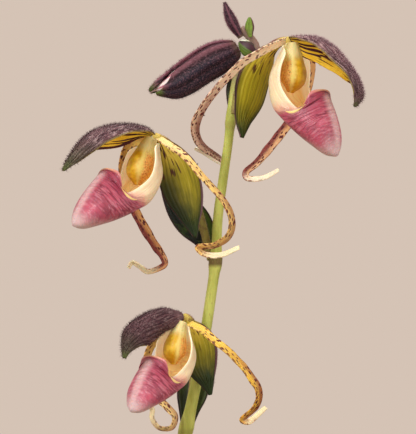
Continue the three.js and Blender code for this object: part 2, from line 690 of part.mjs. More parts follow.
// A narrow ribbon petal, tilted between the depth of the flower and the plane of its curl by an angle
// that changes along it
function ribbonPetal(flower, course, tilts) {
  const depth = new THREE.Vector3(0, 1, 0);
  const tiltAt = smoothList(tilts);
  const width = smoothList([0.8, 1, 1.02, 1, 0.98, 0.93, 0.86, 0.76, 0.68, 0.66, 0.48]);
  return blade({
    course: fromJoint(flower, course),
    sideAt: (t, along) => {
      const level = new THREE.Vector3().crossVectors(along, depth).normalize();
      const tilt = tiltAt(t) * DEG;
      return depth.clone().multiplyScalar(Math.cos(tilt)).addScaledVector(level, Math.sin(tilt));
    },
    halfWidth: (t) => PETAL_HALF_WIDTH * width(t),
    arc: () => 0.5,
    thickness: PETAL_THICKNESS,
    steps: 28,
    across: 2,
  });
}

// The slipper: rings from the toe to the rim, drawn as smooth curves along and around
function pouch(flower) {
  const place = stancePlace(flower.at, flower.stance);
  const halfRing = ({ back, front, half, sag }) => Array.from({ length: 7 }, (_, i) => {
    const angle = (Math.PI * i) / 6;
    const share = (1 - Math.cos(angle)) / 2;
    return [
      THREE.MathUtils.lerp(back[0], front[0], share),
      half * Math.sin(angle),
      THREE.MathUtils.lerp(back[1], front[1], share) - sag * Math.sin(angle) ** 2,
    ];
  });
  const halves = [...POUCH_TOE_RINGS.map(halfRing), POUCH_THROAT, POUCH_RIM];
  const rings = halves.map((half) => {
    const mirrored = half.slice(1, -1).reverse().map(([forward, across, up]) => [forward, -across, up]);
    return [...half, ...mirrored];
  });
  const meridians = rings[0].map((_, j) => (
    new THREE.CatmullRomCurve3(rings.map((ring) => vec(ring[j])), false, 'centripetal')
  ));
  const grid = [];
  for (let i = 0; i < POUCH_RINGS; i += 1) {
    const t = (i / (POUCH_RINGS - 1)) ** 0.9;
    const points = meridians.map((curve) => curve.getPoint(t));
    const ring = new THREE.CatmullRomCurve3(points, true, 'centripetal');
    const row = [];
    for (let j = 0; j < POUCH_MERIDIANS; j += 1) {
      row.push(vec(place(ring.getPoint(j / POUCH_MERIDIANS).toArray())));
    }
    grid.push(row);
  }
  return sheet(grid, POUCH_WALL, { wrap: true, share: 0 });
}

function column(flower) {
  const width = smoothList(COLUMN_RADIUS);
  return stalk({
    course: COLUMN_COURSE.map(stancePlace(flower.at, flower.stance)),
    radius: (t) => width(t) * flower.stance.scale,
    steps: 9,
    sides: 12,
  });
}

function ovary(flower) {
  const swell = smoothList([0.8, 0.85, 0.95, 1, 0.85]);
  return stalk({
    course: fromJoint(flower, flower.ovary),
    radius: (t) => OVARY_RADIUS * swell(t),
    steps: 11,
    sides: 8,
  });
}

// A bract: a small pointed leaf that clasps the stem
function bract(course, side, halfWidth, bend) {
  const shape = smoothList(BRACT_OUTLINE);
  return blade({
    course,
    sideAt: () => vec(side),
    halfWidth: (t) => halfWidth * shape(t),
    arc: () => bend,
    thickness: BRACT_THICKNESS,
    steps: 9,
    across: 4,
  });
}

// One valve of the large bud: part of its rounded, ridged skin
function budValve({ faces, spread }, reach) {
  const spreadAt = smoothList(spread);
  const curve = new THREE.CatmullRomCurve3(BUD_AXIS.map(vec), false, 'centripetal');
  const radius = smoothList(BUD_RADIUS);
  const depth = new THREE.Vector3(0, 1, 0);
  const steps = 10;
  const across = 7;
  const grid = [];
  for (let i = 0; i <= steps; i += 1) {
    const t = 0.03 + (reach - 0.03) * (i / steps);
    const { point, side, face } = stripFrame(curve, t, () => depth);
    const row = [];
    for (let j = 0; j <= across; j += 1) {
      const angle = (faces + spreadAt(i / steps) * ((2 * j) / across - 1)) * DEG;
      const size = radius(t) + BUD_RIDGE * Math.cos(9 * angle);
      row.push(point.clone()
        .addScaledVector(face, size * Math.cos(angle))
        .addScaledVector(side, size * Math.sin(angle)));
    }
    grid.push(row);
  }
  return sheet(grid, BUD_SEPAL_THICKNESS);
}

// The pouch inside the bud, just clear of its valves
function budPouch() {
  const radius = smoothList(BUD_RADIUS);
  const inset = BUD_SEPAL_THICKNESS / 2 + BUD_RIDGE + GAP;
  return stalk({
    course: BUD_AXIS.slice(1),
    radius: (t) => Math.max(radius(0.125 + 0.875 * t) - inset, 0.6) * (1 - 0.3 * t ** 6),
    steps: 9,
    sides: 12,
  });
}

addPiece('pot', clayPot(), MATERIALS.clay);
addPiece('potting_mix', barkMix(), MATERIALS.bark);
addPiece('flower_stem', floweringStem(), MATERIALS.stem);
LEAVES.forEach((leaf, i) => addPiece(`leaf_${i + 1}`, strapLeaf(leaf), MATERIALS.leaf));

for (const [name, flower] of Object.entries(FLOWERS)) {
  const called = (piece) => `${name}_flower_${piece}`;
  addPiece(called('ovary'), ovary(flower), MATERIALS.stem);
  addPiece(called('column'), column(flower), MATERIALS.column);
  addPiece(called('pouch'), pouch(flower), MATERIALS.pouch);
  addPiece(called('dorsal_sepal'), hoodSepal(flower), MATERIALS.hood);
  const petalLeft = ribbonPetal(flower, flower.petalLeft, flower.petalLeftTilt);
  addPiece(called('petal_left'), petalLeft, MATERIALS.petal);
  const petalRight = ribbonPetal(flower, flower.petalRight, flower.petalRightTilt);
  addPiece(called('petal_right'), petalRight, MATERIALS.petal);
  addPiece(called('synsepal'), lowerSepal(flower), MATERIALS.sepal);
  const { bractSide, bractHalfWidth } = flower;
  const bractLeaf = bract(fromJoint(flower, flower.bract), bractSide, bractHalfWidth, BRACT_BEND);
  addPiece(called('bract'), bractLeaf, MATERIALS.bract);
}

addPiece('bud_pouch', budPouch(), MATERIALS.pouch);
addPiece('bud_upper_sepal', budValve(BUD_UPPER_VALVE, 1), MATERIALS.bud);
addPiece('bud_lower_sepal', budValve(BUD_LOWER_VALVE, 0.95), MATERIALS.bud);
addPiece('bud_stalk', stalk({ course: BUD_STALK, radius: () => 1.3, steps: 4, sides: 8 }), MATERIALS.stem);
addPiece('bud_bract', bract(BUD_BRACT, [0.4, -0.1, 0.9], 3.4, 0.9), MATERIALS.bract);
addPiece(
  'small_bud',
  stalk({ course: SMALL_BUD_AXIS, radius: smoothList(SMALL_BUD_RADIUS), steps: 9, sides: 9 }),
  MATERIALS.bud,
);
addPiece('small_bud_bract', bract(SMALL_BRACT, [1, 0.2, 0.1], 2, 0.5), MATERIALS.bract);

export default orchid;
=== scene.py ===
"""The finish of a potted slipper orchid in flower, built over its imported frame."""
import math

import bpy
import numpy as np
from bpy.props import FloatProperty, FloatVectorProperty, IntProperty, PointerProperty
from mathutils import Matrix, Vector, noise


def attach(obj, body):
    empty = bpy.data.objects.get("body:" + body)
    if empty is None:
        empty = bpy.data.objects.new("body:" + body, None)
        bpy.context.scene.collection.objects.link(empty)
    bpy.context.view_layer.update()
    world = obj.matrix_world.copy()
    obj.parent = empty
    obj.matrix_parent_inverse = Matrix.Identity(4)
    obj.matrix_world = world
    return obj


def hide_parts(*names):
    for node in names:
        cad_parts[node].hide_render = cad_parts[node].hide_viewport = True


bl_info = {
    "name": "Potted slipper orchid",
    "version": (1, 0, 0),
    "blender": (4, 5, 0),
    "location": "3D View > Sidebar > Orchid",
    "description": "Builds the finished pieces of a potted slipper orchid",
    "category": "Add Mesh",
}

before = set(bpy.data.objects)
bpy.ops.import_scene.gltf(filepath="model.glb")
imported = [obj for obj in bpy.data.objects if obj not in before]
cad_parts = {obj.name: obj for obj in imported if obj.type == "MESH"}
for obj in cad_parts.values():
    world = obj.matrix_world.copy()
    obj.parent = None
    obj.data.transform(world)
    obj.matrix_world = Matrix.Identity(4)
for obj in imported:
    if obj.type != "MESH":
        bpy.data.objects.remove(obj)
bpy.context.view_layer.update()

# Courses and sizes below are in millimetres, and meshes are made in metres
MM = 0.001
DEG = math.pi / 180

# The pot and its bark mix
POT_HEIGHT = 150
POT_RIM_RADIUS = 88
POT_FOOT_RADIUS = 61
POT_WALL = 6
POT_FLOOR = 9
RIM_BAND_HEIGHT = 27
RIM_BAND_STEP = 3
DRAIN_RADIUS = 6
DRAIN_PLACE = 34
DRAIN_COUNT = 3
MIX_LEVEL = 130
# The oval hole in the mix that the leaves stand in: its depth, and half its length and its width
CROWN_DEPTH = 24
CROWN_LENGTH = 27
CROWN_WIDTH = 17
# Points round the mix and the floor
ROUND_SIDES = 96
# Loose bark by name: how far out it lies, its spacing, its size and how far it tumbles
LOOSE_BARK = [("bark_chips", 66, 8.5, 1.0, 0.3), ("bark_crumbs", 71.5, 4.2, 0.42, 0.7)]

# The leaves, oldest and outermost first
LEAF_THICKNESS = 1.6
LEAVES = [
    dict(side=-1, turn=9, keel=21, base=17, length=345, width=80, rise=60, droop=-52),
    dict(side=1, turn=-8, keel=21, base=17, length=350, width=82, rise=62, droop=-50),
    dict(side=-1, turn=-12, keel=14.5, base=10.5, length=335, width=80, rise=74, droop=-44),
    dict(side=1, turn=13, keel=14.5, base=10.5, length=325, width=78, rise=75, droop=-42),
    dict(side=-1, turn=5, keel=8.5, base=4.5, length=275, width=70, rise=84, droop=-22),
    dict(side=1, turn=-4, keel=8.5, base=4.5, length=235, width=62, rise=86, droop=-8),
]

# The flowering stem, from the crown to its last node
STEM_COURSE = [
    (0, 0, 108), (0, 0, 150), (0.5, 0, 200), (4.5, 0, 265), (12, 0, 325), (20, 0, 370), (26, 0, 394),
    (29.5, 0, 410), (33, 0, 428), (36, 0, 447), (38, 0, 462), (39, 0, 480), (41, 0, 495), (43, 0, 509),
    (44.2, 0, 520), (45.2, 1, 529), (46.8, 2, 537), (49.6, 3, 542.4), (53.4, 4, 545.2),
    (54.4, 4, 548.6), (51.8, 3, 552.4), (48.2, 2, 555.8),
]
STEM_FOOT_RADIUS = 3.1
STEM_TOP_RADIUS = 1.5
# The height of each node and how far the stem swells there
STEM_NODES = [(396, 1.3), (462.5, 1.35), (519.5, 1.25)]
# The heights of the brown rings in metres, and how strong they are
STEM_RINGS = [(0.3935, 0.3), (0.4625, 0.9), (0.5165, 0.25)]

# A flower's parts. A hair's tip bends aside by this share of its length.
HAIR_BEND = 0.12
SEPAL_THICKNESS = 0.9
PETAL_THICKNESS = 0.9
PETAL_HALF_WIDTH = 2.1
POUCH_WALL = 1
BRACT_THICKNESS = 0.8
BRACT_BEND = -0.8
# The half width of each blade as a share of its widest, from its foot to its tip
HOOD_OUTLINE = [0.68, 0.91, 1, 0.99, 0.9, 0.71, 0.42]
SYNSEPAL_OUTLINE = [0.44, 0.75, 0.95, 1, 0.9, 0.66, 0.34]
BRACT_OUTLINE = [0.36, 0.52, 0.7, 0.92, 1, 0.93, 0.74, 0.44, 0.08]
OVARY_RADIUS = 1.9

# A flower's own frame is (forward, across, up) from the joint where all its parts meet. The pouch's rings
# in it go from its toe up: the ring's back, its front, its half width and its sag.
POUCH_TOE_RINGS = [
    ((34, -34.2), (34.9, -32.8), 1.3, 0),
    ((31, -34.8), (33.6, -29), 4.8, 0),
    ((25, -33.6), (31, -24.2), 8, 0),
    ((17, -31.2), (27.6, -19.4), 9.6, 1.5),
    ((9.4, -27.6), (24.8, -16), 10, 3.6),
    ((2, -22), (23.2, -14.2), 10, 6.2),
]
POUCH_THROAT = [
    (-3.2, 0, -12), (-1, 5.6, -12.4), (2.6, 9.8, -15.8), (8.4, 10.4, -21), (17, 9.2, -23.6),
    (21.4, 7.4, -17.8), (22, 0, -13.4),
]
POUCH_RIM = [
    (-2.6, 0, -2.2), (4.2, 8.2, -4.4), (5.8, 10.6, -9.6), (8.4, 10.2, -16), (18, 8, -21.4),
    (19.6, 7, -14.2), (20.6, 0, -12.8),
]
COLUMN_COURSE = [
    (0.6, 0, -0.4), (2.4, 0, -4), (4.2, 0, -8), (5.6, 0, -11.4), (6.4, 0, -14.8), (6.6, 0, -18),
]
COLUMN_RADIUS = [2.6, 3.3, 4.2, 5, 4.5, 1.4]

# The flowers. "at" is the joint. In a stance, the first number is the compass angle that the pouch or
# the hood looks to, with 0 along +X, then how far it nods, its scale, and its width over its length. A
# hood's lean tips it to one side, and its bend is the angle that its half section turns through, both
# read from its foot to its tip. The courses of the petals, the lower sepal, the ovary and the bract are
# measured from the joint along X, Y and Z.
FLOWERS = {
    "upper": dict(
        at=(66.8, -22, 547), stance=(-36, 21.5, 1.005, 1), synsepal_side=(0.85, 0.5, 0.1),
        synsepal_half_width=8.9, bract_side=(0.95, 0.1, 0.25), bract_half_width=5.3,
        hood=dict(
            stance=(-30, 24, 0.97, 1), half_width=10.2, foot=2.5, fold=0,
            midrib=[
                (-0.5, 0, 1), (5.6, 0, 2.4), (12.9, 0, 4.4), (20, 0, 3.5), (26.9, 0, 0.4),
                (33.1, 0, -3.7), (36, 0, -8.2), (35.9, 0, -13.4),
            ],
            lean=[-0.8, -0.58, -0.56, -0.54, -0.39],
            bend=[1.2, 1.4, 1.25, 0.8, 0.45],
        ),
        petal_left=[
            (-2.4, -3.4, 0.2), (-10.5, -9, -4), (-19, -14, -9.5), (-25, -16.5, -15.5),
            (-31, -15.5, -22), (-35, -11.5, -28), (-36.8, -5, -33), (-36, 4, -37), (-33.6, 14, -39.6),
            (-30.6, 22, -41.4), (-27.6, 28, -43.2), (-25, 32, -45), (-28, 34, -43.8),
            (-32.4, 33, -41.2), (-37, 30, -38.8),
        ],
        petal_left_tilt=[34, 34, 36, 42, 46, 46, 44, 42],
        petal_right=[
            (2.4, 3.6, 0), (6.5, 10, -1.5), (8.8, 15, -6), (8.4, 18.5, -13), (6, 20, -20),
            (2.5, 20, -26.5), (-1.5, 19, -32), (-7, 16, -39), (-12.5, 12, -45.5), (-17, 8.5, -49.5),
            (-16.4, 5, -52.2), (-11, 2.6, -52.2), (-4.5, 1, -49),
        ],
        petal_right_tilt=[42, 42, 50, 74, 84, 76, 50, 42],
        synsepal=[
            (-2.9, 2.6, 0.4), (-8.4, 5, -4.4), (-12.3, 7, -12.5), (-15, 9, -21), (-17.8, 9, -29),
            (-18.6, 7.5, -36.2),
        ],
        ovary=[
            (-21.2, 20.6, -26), (-20, 21.5, -18), (-16, 20, -10), (-10.5, 16, -3.5), (-5, 9, 0.6),
            (-1.2, 2.6, 0.6),
        ],
        bract=[
            (-21, 21.6, -27), (-20.8, 25.5, -20), (-18.6, 27.5, -12), (-16, 26, -5), (-13, 23.5, -0.5),
        ],
    ),
    "middle": dict(
        at=(13.7, -24, 510.1), stance=(218, -0.6, 1, 1), synsepal_side=(0.84, 0.52, 0.12),
        synsepal_half_width=9.7, bract_side=(0.8, 0.15, 0.55), bract_half_width=8.2,
        hood=dict(
            stance=(212, 0, 0.96, 1), half_width=11.4, foot=2.1, fold=0,
            midrib=[
                (-0.5, 0, 1.5), (4.3, 0, 3.2), (12.1, 0, 3.9), (19.7, 0, 3.5), (27.1, 0, 1.1),
                (32.4, 0, -3.8), (36.4, 0, -9.4), (39.1, 0, -13.6),
            ],
            lean=[0.2, 0.32, 0.23, 0.1, -0.19],
            bend=[0.75, 1.14, 1.32, 1.41, 1.46],
        ),
        petal_left=[
            (-2.4, 3.4, -0.4), (-8.5, 11, -1.6), (-11.8, 17.5, -5.5), (-12.6, 20.5, -11.5),
            (-11, 21, -18.5), (-8.4, 20, -26), (-4.4, 18, -33.5), (-0.4, 16, -40), (3.4, 14, -45.6),
            (4.2, 12.4, -48.4), (2, 11, -50), (-2.2, 10, -51.2), (-5, 8, -49.2), (-8, 7, -47.4),
            (-9.6, 7, -49.8),
        ],
        petal_left_tilt=[42, 42, 52, 76, 86, 74, 46, 42],
        petal_right=[
            (2.6, -3.4, -0.4), (7, -8, -3.6), (12, -13, -7.5), (16.5, -16.5, -12.2), (21, -18.5, -17.5),
            (25.4, -18.5, -22.5), (28.8, -17, -27.5), (30, -14.5, -33), (28.4, -11, -37.6),
            (23.5, -6.5, -40.6), (17.4, -3, -41.6), (19.4, -5, -44), (26, -8.6, -44.4),
            (33, -11, -41.4),
        ],
        petal_right_tilt=[36, 32, 31, 33, 38, 42, 42, 42],
        synsepal=[
            (2.8, 2.8, 0), (8.6, 6, -8), (12, 9, -17), (14, 10, -25.5), (15.3, 9, -33),
            (16.4, 7.5, -38),
        ],
        ovary=[
            (22.4, 24, -47), (20.6, 27, -39.5), (18, 28, -29.5), (14.5, 26.5, -19.5), (10.5, 20.5, -9),
            (5.4, 11, -1.6), (1.4, 3, 0.4),
        ],
        bract=[
            (23.9, 26.4, -46), (19.8, 31, -38.6), (14.2, 34, -31.4), (8.4, 34, -24.4), (2.2, 32, -17),
        ],
    ),
    "lower": dict(
        at=(25, -18, 439.9), stance=(231, 3.4, 0.885, 0.95), synsepal_side=(0.85, 0.5, 0.05),
        synsepal_half_width=8.5, bract_side=(1, 0.05, 0.05), bract_half_width=7.3,
        hood=dict(
            stance=(228, 0, 0.88, 1), half_width=9.4, foot=2.4, fold=0.2,
            midrib=[
                (-0.5, 0, 3), (5.6, 0, 3.3), (12.3, 0, 2), (20.1, 0, 0.2), (26.2, 0, -1.7),
                (30.6, 0, -4.3), (33.4, 0, -7.4), (34.9, 0, -10.4), (35.5, 0, -13.4),
            ],
            lean=[-0.8, -1.12, -0.89, -0.65, -0.42],
            bend=[0.8, 1.28, 1.27, 0.83, 0.44],
        ),
        petal_left=[
            (-3.2, 2.4, -0.2), (-6.9, 9, -4), (-11, 14, -8.5), (-14.1, 16.5, -14), (-14.9, 17.5, -20.5),
            (-13.3, 17.5, -27), (-10.3, 16.5, -32), (-6.5, 15, -35.5), (-3.3, 13, -39),
            (-4.5, 10.5, -42.6), (-8.9, 8.4, -42.6), (-11.7, 7, -39), (-11.7, 5, -34.6),
            (-14.3, 3, -33.4),
        ],
        petal_left_tilt=[42, 42, 44, 46, 46, 44, 42, 42],
        petal_right=[
            (2.8, -2.8, -0.8), (7.6, -7, -3), (12.3, -10.6, -6.6), (17, -13.4, -10.2),
            (21.7, -14.6, -14.8), (25.9, -14.2, -19.8), (28.7, -12.2, -24.6), (28.9, -9.2, -29.6),
            (26.5, -6, -33.8), (23.1, -3.6, -37.4), (25.7, -1, -38.8), (32.5, 1.6, -33.6),
        ],
        petal_right_tilt=[34, 32, 33, 38, 44, 46, 44, 42],
        synsepal=[
            (1.6, 3, -0.2), (5.4, 6, -5.6), (7.2, 8.6, -11.8), (8.2, 9.8, -18), (9.6, 9.8, -24),
            (11, 8.6, -29.8),
        ],
        ovary=[
            (2.3, 21.2, -44.6), (3.1, 27, -36.5), (4.1, 29.5, -26), (4.5, 28, -16), (4.1, 22, -7),
            (2.7, 12, -1), (0.8, 3.4, 0.8),
        ],
        bract=[(1.4, 23.4, -46), (2.6, 31, -38), (4.2, 35, -29), (5.4, 36, -20), (5.6, 34.5, -11)],
    ),
}

# The large bud, along its axis from its short stalk to its tip, and the small bud above it
BUD_AXIS = [
    (47.6, 2.6, 548.7), (43.2, 2, 546.1), (38.7, 1.3, 543.8), (34.2, 0.6, 541.3), (30, -0.1, 538.5),
    (25.8, -0.8, 535.6), (21.4, -1.4, 533.1), (16.5, -2, 531.6), (11.8, -2.4, 529.8),
]
BUD_RADIUS = [2.2, 4.7, 6.1, 6.3, 6.2, 6.1, 5.4, 3.2, 0.7]
BUD_SEPAL_THICKNESS = 1.1
BUD_RIDGE = 0.35
BUD_RIDGES = 9
# How far each valve spreads to both sides of where it faces, in degrees from the foot to the tip
BUD_UPPER_SPREAD = [44, 46, 46, 44, 40, 36, 34, 66, 108]
BUD_LOWER_SPREAD = [130, 128, 127, 127, 126, 122, 112, 80, 20]
BUD_STALK = [(52, 2.4, 548.6), (50.4, 1.4, 549.9), (48, 1.4, 549.9)]
BUD_BRACT = [(54.6, -1.8, 544.6), (51.8, -2.8, 546.2), (48.8, -2, 548.4), (47.4, -1, 550)]
SMALL_BUD_AXIS = [
    (48.2, 1.2, 552), (46.4, 0.8, 554.8), (44.4, 0.3, 558.4), (42.8, -0.2, 562.2),
    (41.6, -0.6, 565.8),
]
SMALL_BUD_RADIUS = [1.1, 1.9, 2.2, 1.6, 0.6]
SMALL_BRACT = [(52, 0.4, 552), (51.8, 0.2, 555), (51.6, 0, 560)]

# The camera stands level before the flowers, at the photograph's distance and height
CAMERA_PLACE = (0.035, -0.506, 0.480)
CAMERA_LENS = 104.9
# Where the lamps point
LAMP_AIM = (0.03, 0, 0.45)


def unit(vectors):
    """Vectors at length 1."""
    return vectors / np.maximum(np.linalg.norm(vectors, axis=-1, keepdims=True), 1e-12)


def lerp(start, end, share):
    """The value a share of the way from start to end."""
    return start + (end - start) * share


def smooth_step(value, low, high):
    """Rises smoothly from 0 at low to 1 at high."""
    share = np.clip((np.asarray(value, float) - low) / (high - low), 0, 1)
    return share * share * (3 - 2 * share)


def amid(value, start, full, fade, end=1):
    """Rises smoothly from 0 at start to 1 at full, and falls from fade to 0 at end."""
    return smooth_step(value, start, full) * smooth_step(value, end, fade)


def way_between(here, after, leave, arrive, share):
    """The smooth way from here to after that leaves and arrives at the slopes given."""
    cubic = 2 * here - 2 * after + leave + arrive
    square = 3 * after - 3 * here - 2 * leave - arrive
    return ((cubic * share + square) * share + leave) * share + here


def eased(values):
    """A function that reads a list of evenly spaced values smoothly, from share 0 to share 1."""
    values = np.array(values, float)
    last = len(values) - 1

    def read(share):
        place = np.clip(np.asarray(share, float), 0, 1) * last
        index = np.minimum(place.astype(int), last)
        before, here, after, later = (values[np.clip(index + k, 0, last)] for k in (-1, 0, 1, 2))
        return way_between(here, after, (after - before) / 2, (later - here) / 2, place - index)

    return read


def waves(values, seed, pitch):
    """A gentle seeded wave over a list of places, from about -1 to 1."""
    read = [noise.noise(Vector((value / pitch, seed * 7.31, 0.5))) for value in np.ravel(values)]
    return np.reshape(read, np.shape(values)) * 1.6


def full_turn(count):
    """Angles spaced evenly round a circle."""
    return np.linspace(0, 2 * math.pi, count, endpoint=False)


def circle(radius, height, turn, centre=(0, 0)):
    """Points at angles round an upright axis, whose radius and height may change with the angle."""
    x, y = centre[0] + radius * np.cos(turn), centre[1] + radius * np.sin(turn)
    return np.stack([x, y, height + 0 * turn], axis=-1)


class Course:
    """A smooth curve through points, with its places measured along its length."""

    SAMPLES = 800
    NEAR = 1e-3

    def __init__(self, points, closed=False):
        self.points = np.array(points, float)
        self.closed = closed
        self.parameters = np.linspace(0, 1, self.SAMPLES + 1)
        steps = np.linalg.norm(np.diff(self.at_parameter(self.parameters), axis=0), axis=1)
        lengths = np.concatenate([[0], np.cumsum(steps)])
        self.length = lengths[-1]
        self.shares = lengths / self.length

    def at_parameter(self, parameter):
        """Points at parameters from 0 to 1, which are spread evenly over the spans between the points."""
        count = len(self.points)
        spans = count if self.closed else count - 1
        place = np.clip(np.asarray(parameter, float), 0, 1) * spans
        index = np.minimum(place.astype(int), spans - 1)
        share = (place - index)[..., None]
        if self.closed:
            p0, p1, p2, p3 = (self.points[(index + k) % count] for k in (-1, 0, 1, 2))
        else:
            first = 2 * self.points[0] - self.points[1]
            last = 2 * self.points[-1] - self.points[-2]
            reach = np.concatenate([[first], self.points, [last]])
            p0, p1, p2, p3 = (reach[index + k] for k in (0, 1, 2, 3))
        d0, d1, d2 = (np.sqrt(np.linalg.norm(b - a, axis=-1, keepdims=True))
                      for a, b in ((p0, p1), (p1, p2), (p2, p3)))
        leave = ((p1 - p0) / d0 - (p2 - p0) / (d0 + d1) + (p2 - p1) / d1) * d1
        arrive = ((p2 - p1) / d1 - (p3 - p1) / (d1 + d2) + (p3 - p2) / d2) * d1
        return way_between(p1, p2, leave, arrive, share)

    def at(self, share):
        """Points at shares of the length."""
        return self.at_parameter(np.interp(share, self.shares, self.parameters))

    def along(self, share):
        """Directions at shares of the length."""
        return unit(self.at(np.minimum(share + self.NEAR, 1)) - self.at(np.maximum(share - self.NEAR, 0)))


def stance_place(at, stance):
    """A function that carries points of a flower's own frame to the plant's frame."""
    heading, nod, scale, girth = stance
    faces, nod = heading * DEG, nod * DEG

    def carry(points):
        forward, across, up = np.moveaxis(np.asarray(points, float), -1, 0) * scale
        across = across * girth
        ahead = forward * math.cos(nod) + up * math.sin(nod)
        above = up * math.cos(nod) - forward * math.sin(nod)
        x = at[0] + ahead * math.cos(faces) - across * math.sin(faces)
        y = at[1] + ahead * math.sin(faces) + across * math.cos(faces)
        return np.stack([x, y, at[2] + above], axis=-1)

    return carry


def from_joint(flower, part):
    """The course of a flower's part, which is measured from its joint, in the plant's frame."""
    return np.array(flower[part], float) + np.array(flower["at"], float)


def grid_normals(grid, wrap=False):
    """The unit normals of a grid of points, across its two directions."""
    if wrap:
        columns = np.roll(grid, -1, axis=1) - np.roll(grid, 1, axis=1)
    else:
        columns = np.gradient(grid, axis=1)
    return unit(np.cross(np.gradient(grid, axis=0), columns))


class Form:
    """A closed form: rings of points from one end to the other, with marks on its points."""

    def __init__(self, rings, **marks):
        self.rings = np.array(rings, float)
        self.marks = {}
        for name, value in marks.items():
            shape = self.rings.shape if np.ndim(value) == 3 else self.rings.shape[:2]
            self.marks[name] = np.array(np.broadcast_to(value, shape), float)

    def mesh(self, name):
        """The form as a mesh in metres, with a pole at each end, a UV map and its marks as attributes."""
        rows, columns = self.rings.shape[:2]
        poles = self.rings[[0, -1]].mean(axis=1)
        points = np.concatenate([self.rings.reshape(-1, 3), poles]) * MM
        start = np.arange(rows)[:, None] * columns
        here, following = start + np.arange(columns), start + (np.arange(columns) + 1) % columns
        quads = np.stack([here[:-1], here[1:], following[1:], following[:-1]], axis=2).reshape(-1, 4)
        first, last = (np.full(columns, rows * columns + end) for end in (0, 1))
        faces = [quads, np.stack([first, here[0], following[0]], axis=1),
                 np.stack([last, following[-1], here[-1]], axis=1)]
        if self._volume(points, quads) < 0:
            faces = [group[:, ::-1] for group in faces]
        mesh = bpy.data.meshes.new(name)
        mesh.from_pydata(points.tolist(), [], [face for group in faces for face in group.tolist()])
        mesh.shade_smooth()
        self._add_map(mesh, rows, columns)
        for mark, values in self.marks.items():
            self._add_mark(mesh, mark, values)
        mesh.update()
        return mesh

    @staticmethod
    def _volume(points, quads):
        a, b, c, d = (points[quads[:, k]] for k in range(4))
        return float((np.cross(a, b) * c + np.cross(a, c) * d).sum())

    @staticmethod
    def _add_map(mesh, rows, columns):
        """A UV map that runs once round the form, closed at its seam, and from one pole to the other."""
        loops = np.empty(len(mesh.loops), int)
        mesh.loops.foreach_get("vertex_index", loops)
        counts = np.empty(len(mesh.polygons), int)
        mesh.polygons.foreach_get("loop_total", counts)
        face = np.repeat(np.arange(len(counts)), counts)
        pole = loops >= rows * columns
        column = np.where(pole, 0, loops % columns).astype(float)
        row = np.where(pole, 0, loops // columns).astype(float)
        widest = np.zeros(len(counts))
        np.maximum.at(widest, face, column)
        column[(column == 0) & (widest[face] == columns - 1) & ~pole] = columns
        column[pole] = widest[face][pole]
        row[loops == rows * columns + 1] = rows - 1
        places = np.stack([column / columns, row / (rows - 1)], axis=1)
        mesh.uv_layers.new(name="UVMap").data.foreach_set("uv", places.ravel())

    @staticmethod
    def _add_mark(mesh, name, values):
        """An attribute of the mesh's points. A pole has the mean of the ring beside it."""
        width = values.shape[2] if values.ndim == 3 else 1
        poles = np.stack([values[0].mean(axis=0), values[-1].mean(axis=0)]).reshape(2, width)
        flat = np.concatenate([values.reshape(-1, width), poles]).astype(np.float32)
        kind, field = ("FLOAT_VECTOR", "vector") if width == 3 else ("FLOAT", "value")
        mesh.attributes.new(name, kind, "POINT").data.foreach_set(field, flat.ravel())


# How a sheet's ends thin out, over this share of its length and down to this share of its thickness squared
SHEET_END = 0.03
SHEET_END_LEAST = 0.06
# Samples over a blade's section, from which its bent middle line is added up
SECTION_SAMPLES = 201


def spaced_across(count):
    """Places across a sheet from -1 to 1, closer together towards its edges."""
    even = np.linspace(-1, 1, count + 1)
    return lerp(even, np.sin(even * math.pi / 2), 0.75)


def thick_sheet(middle, u, t, thickness, inner_face, flat, hair=None, edge_power=8):
    """A closed sheet over a grid of points, thinned to round edges. It is rings that run over its upper
    face and back under it. hair is a function of the place along, the place across and the face."""
    to_end = np.minimum(t, 1 - t)
    ends = np.sqrt(np.clip(1 - (1 - to_end / SHEET_END) ** 2, SHEET_END_LEAST, 1))
    ends = np.where(to_end > SHEET_END, 1, ends)
    profile = np.sqrt(np.clip(1 - np.abs(u) ** edge_power, 0, 1))
    lift = grid_normals(middle) * (thickness / 2 * ends[:, None] * profile)[..., None]
    rings = np.concatenate([middle + lift, (middle - lift)[:, -2:0:-1]], axis=1)
    face = np.concatenate([[0], np.ones(len(u) - 2), [0], -np.ones(len(u) - 2)])
    across, along = np.meshgrid(np.concatenate([u, u[-2:0:-1]]), t)
    inside = 0.5 + 0.5 * inner_face * np.broadcast_to(face, across.shape)
    places = np.concatenate([flat, flat[:, -2:0:-1]], axis=1)
    depth = np.broadcast_to(6 * face[:, None], (*across.shape, 1))
    marks = dict(along=along, across=across, inside=inside, flat=np.concatenate([places, depth], axis=2))
    if hair is not None:
        marks["hair"] = np.clip(hair(along, across, inside), 0, 1)
    return Form(rings, **marks)


def read(shape, t):
    """The values of a shape at places along it, from a function of the place or from one number."""
    return shape(t) if callable(shape) else np.full(t.shape, float(shape))


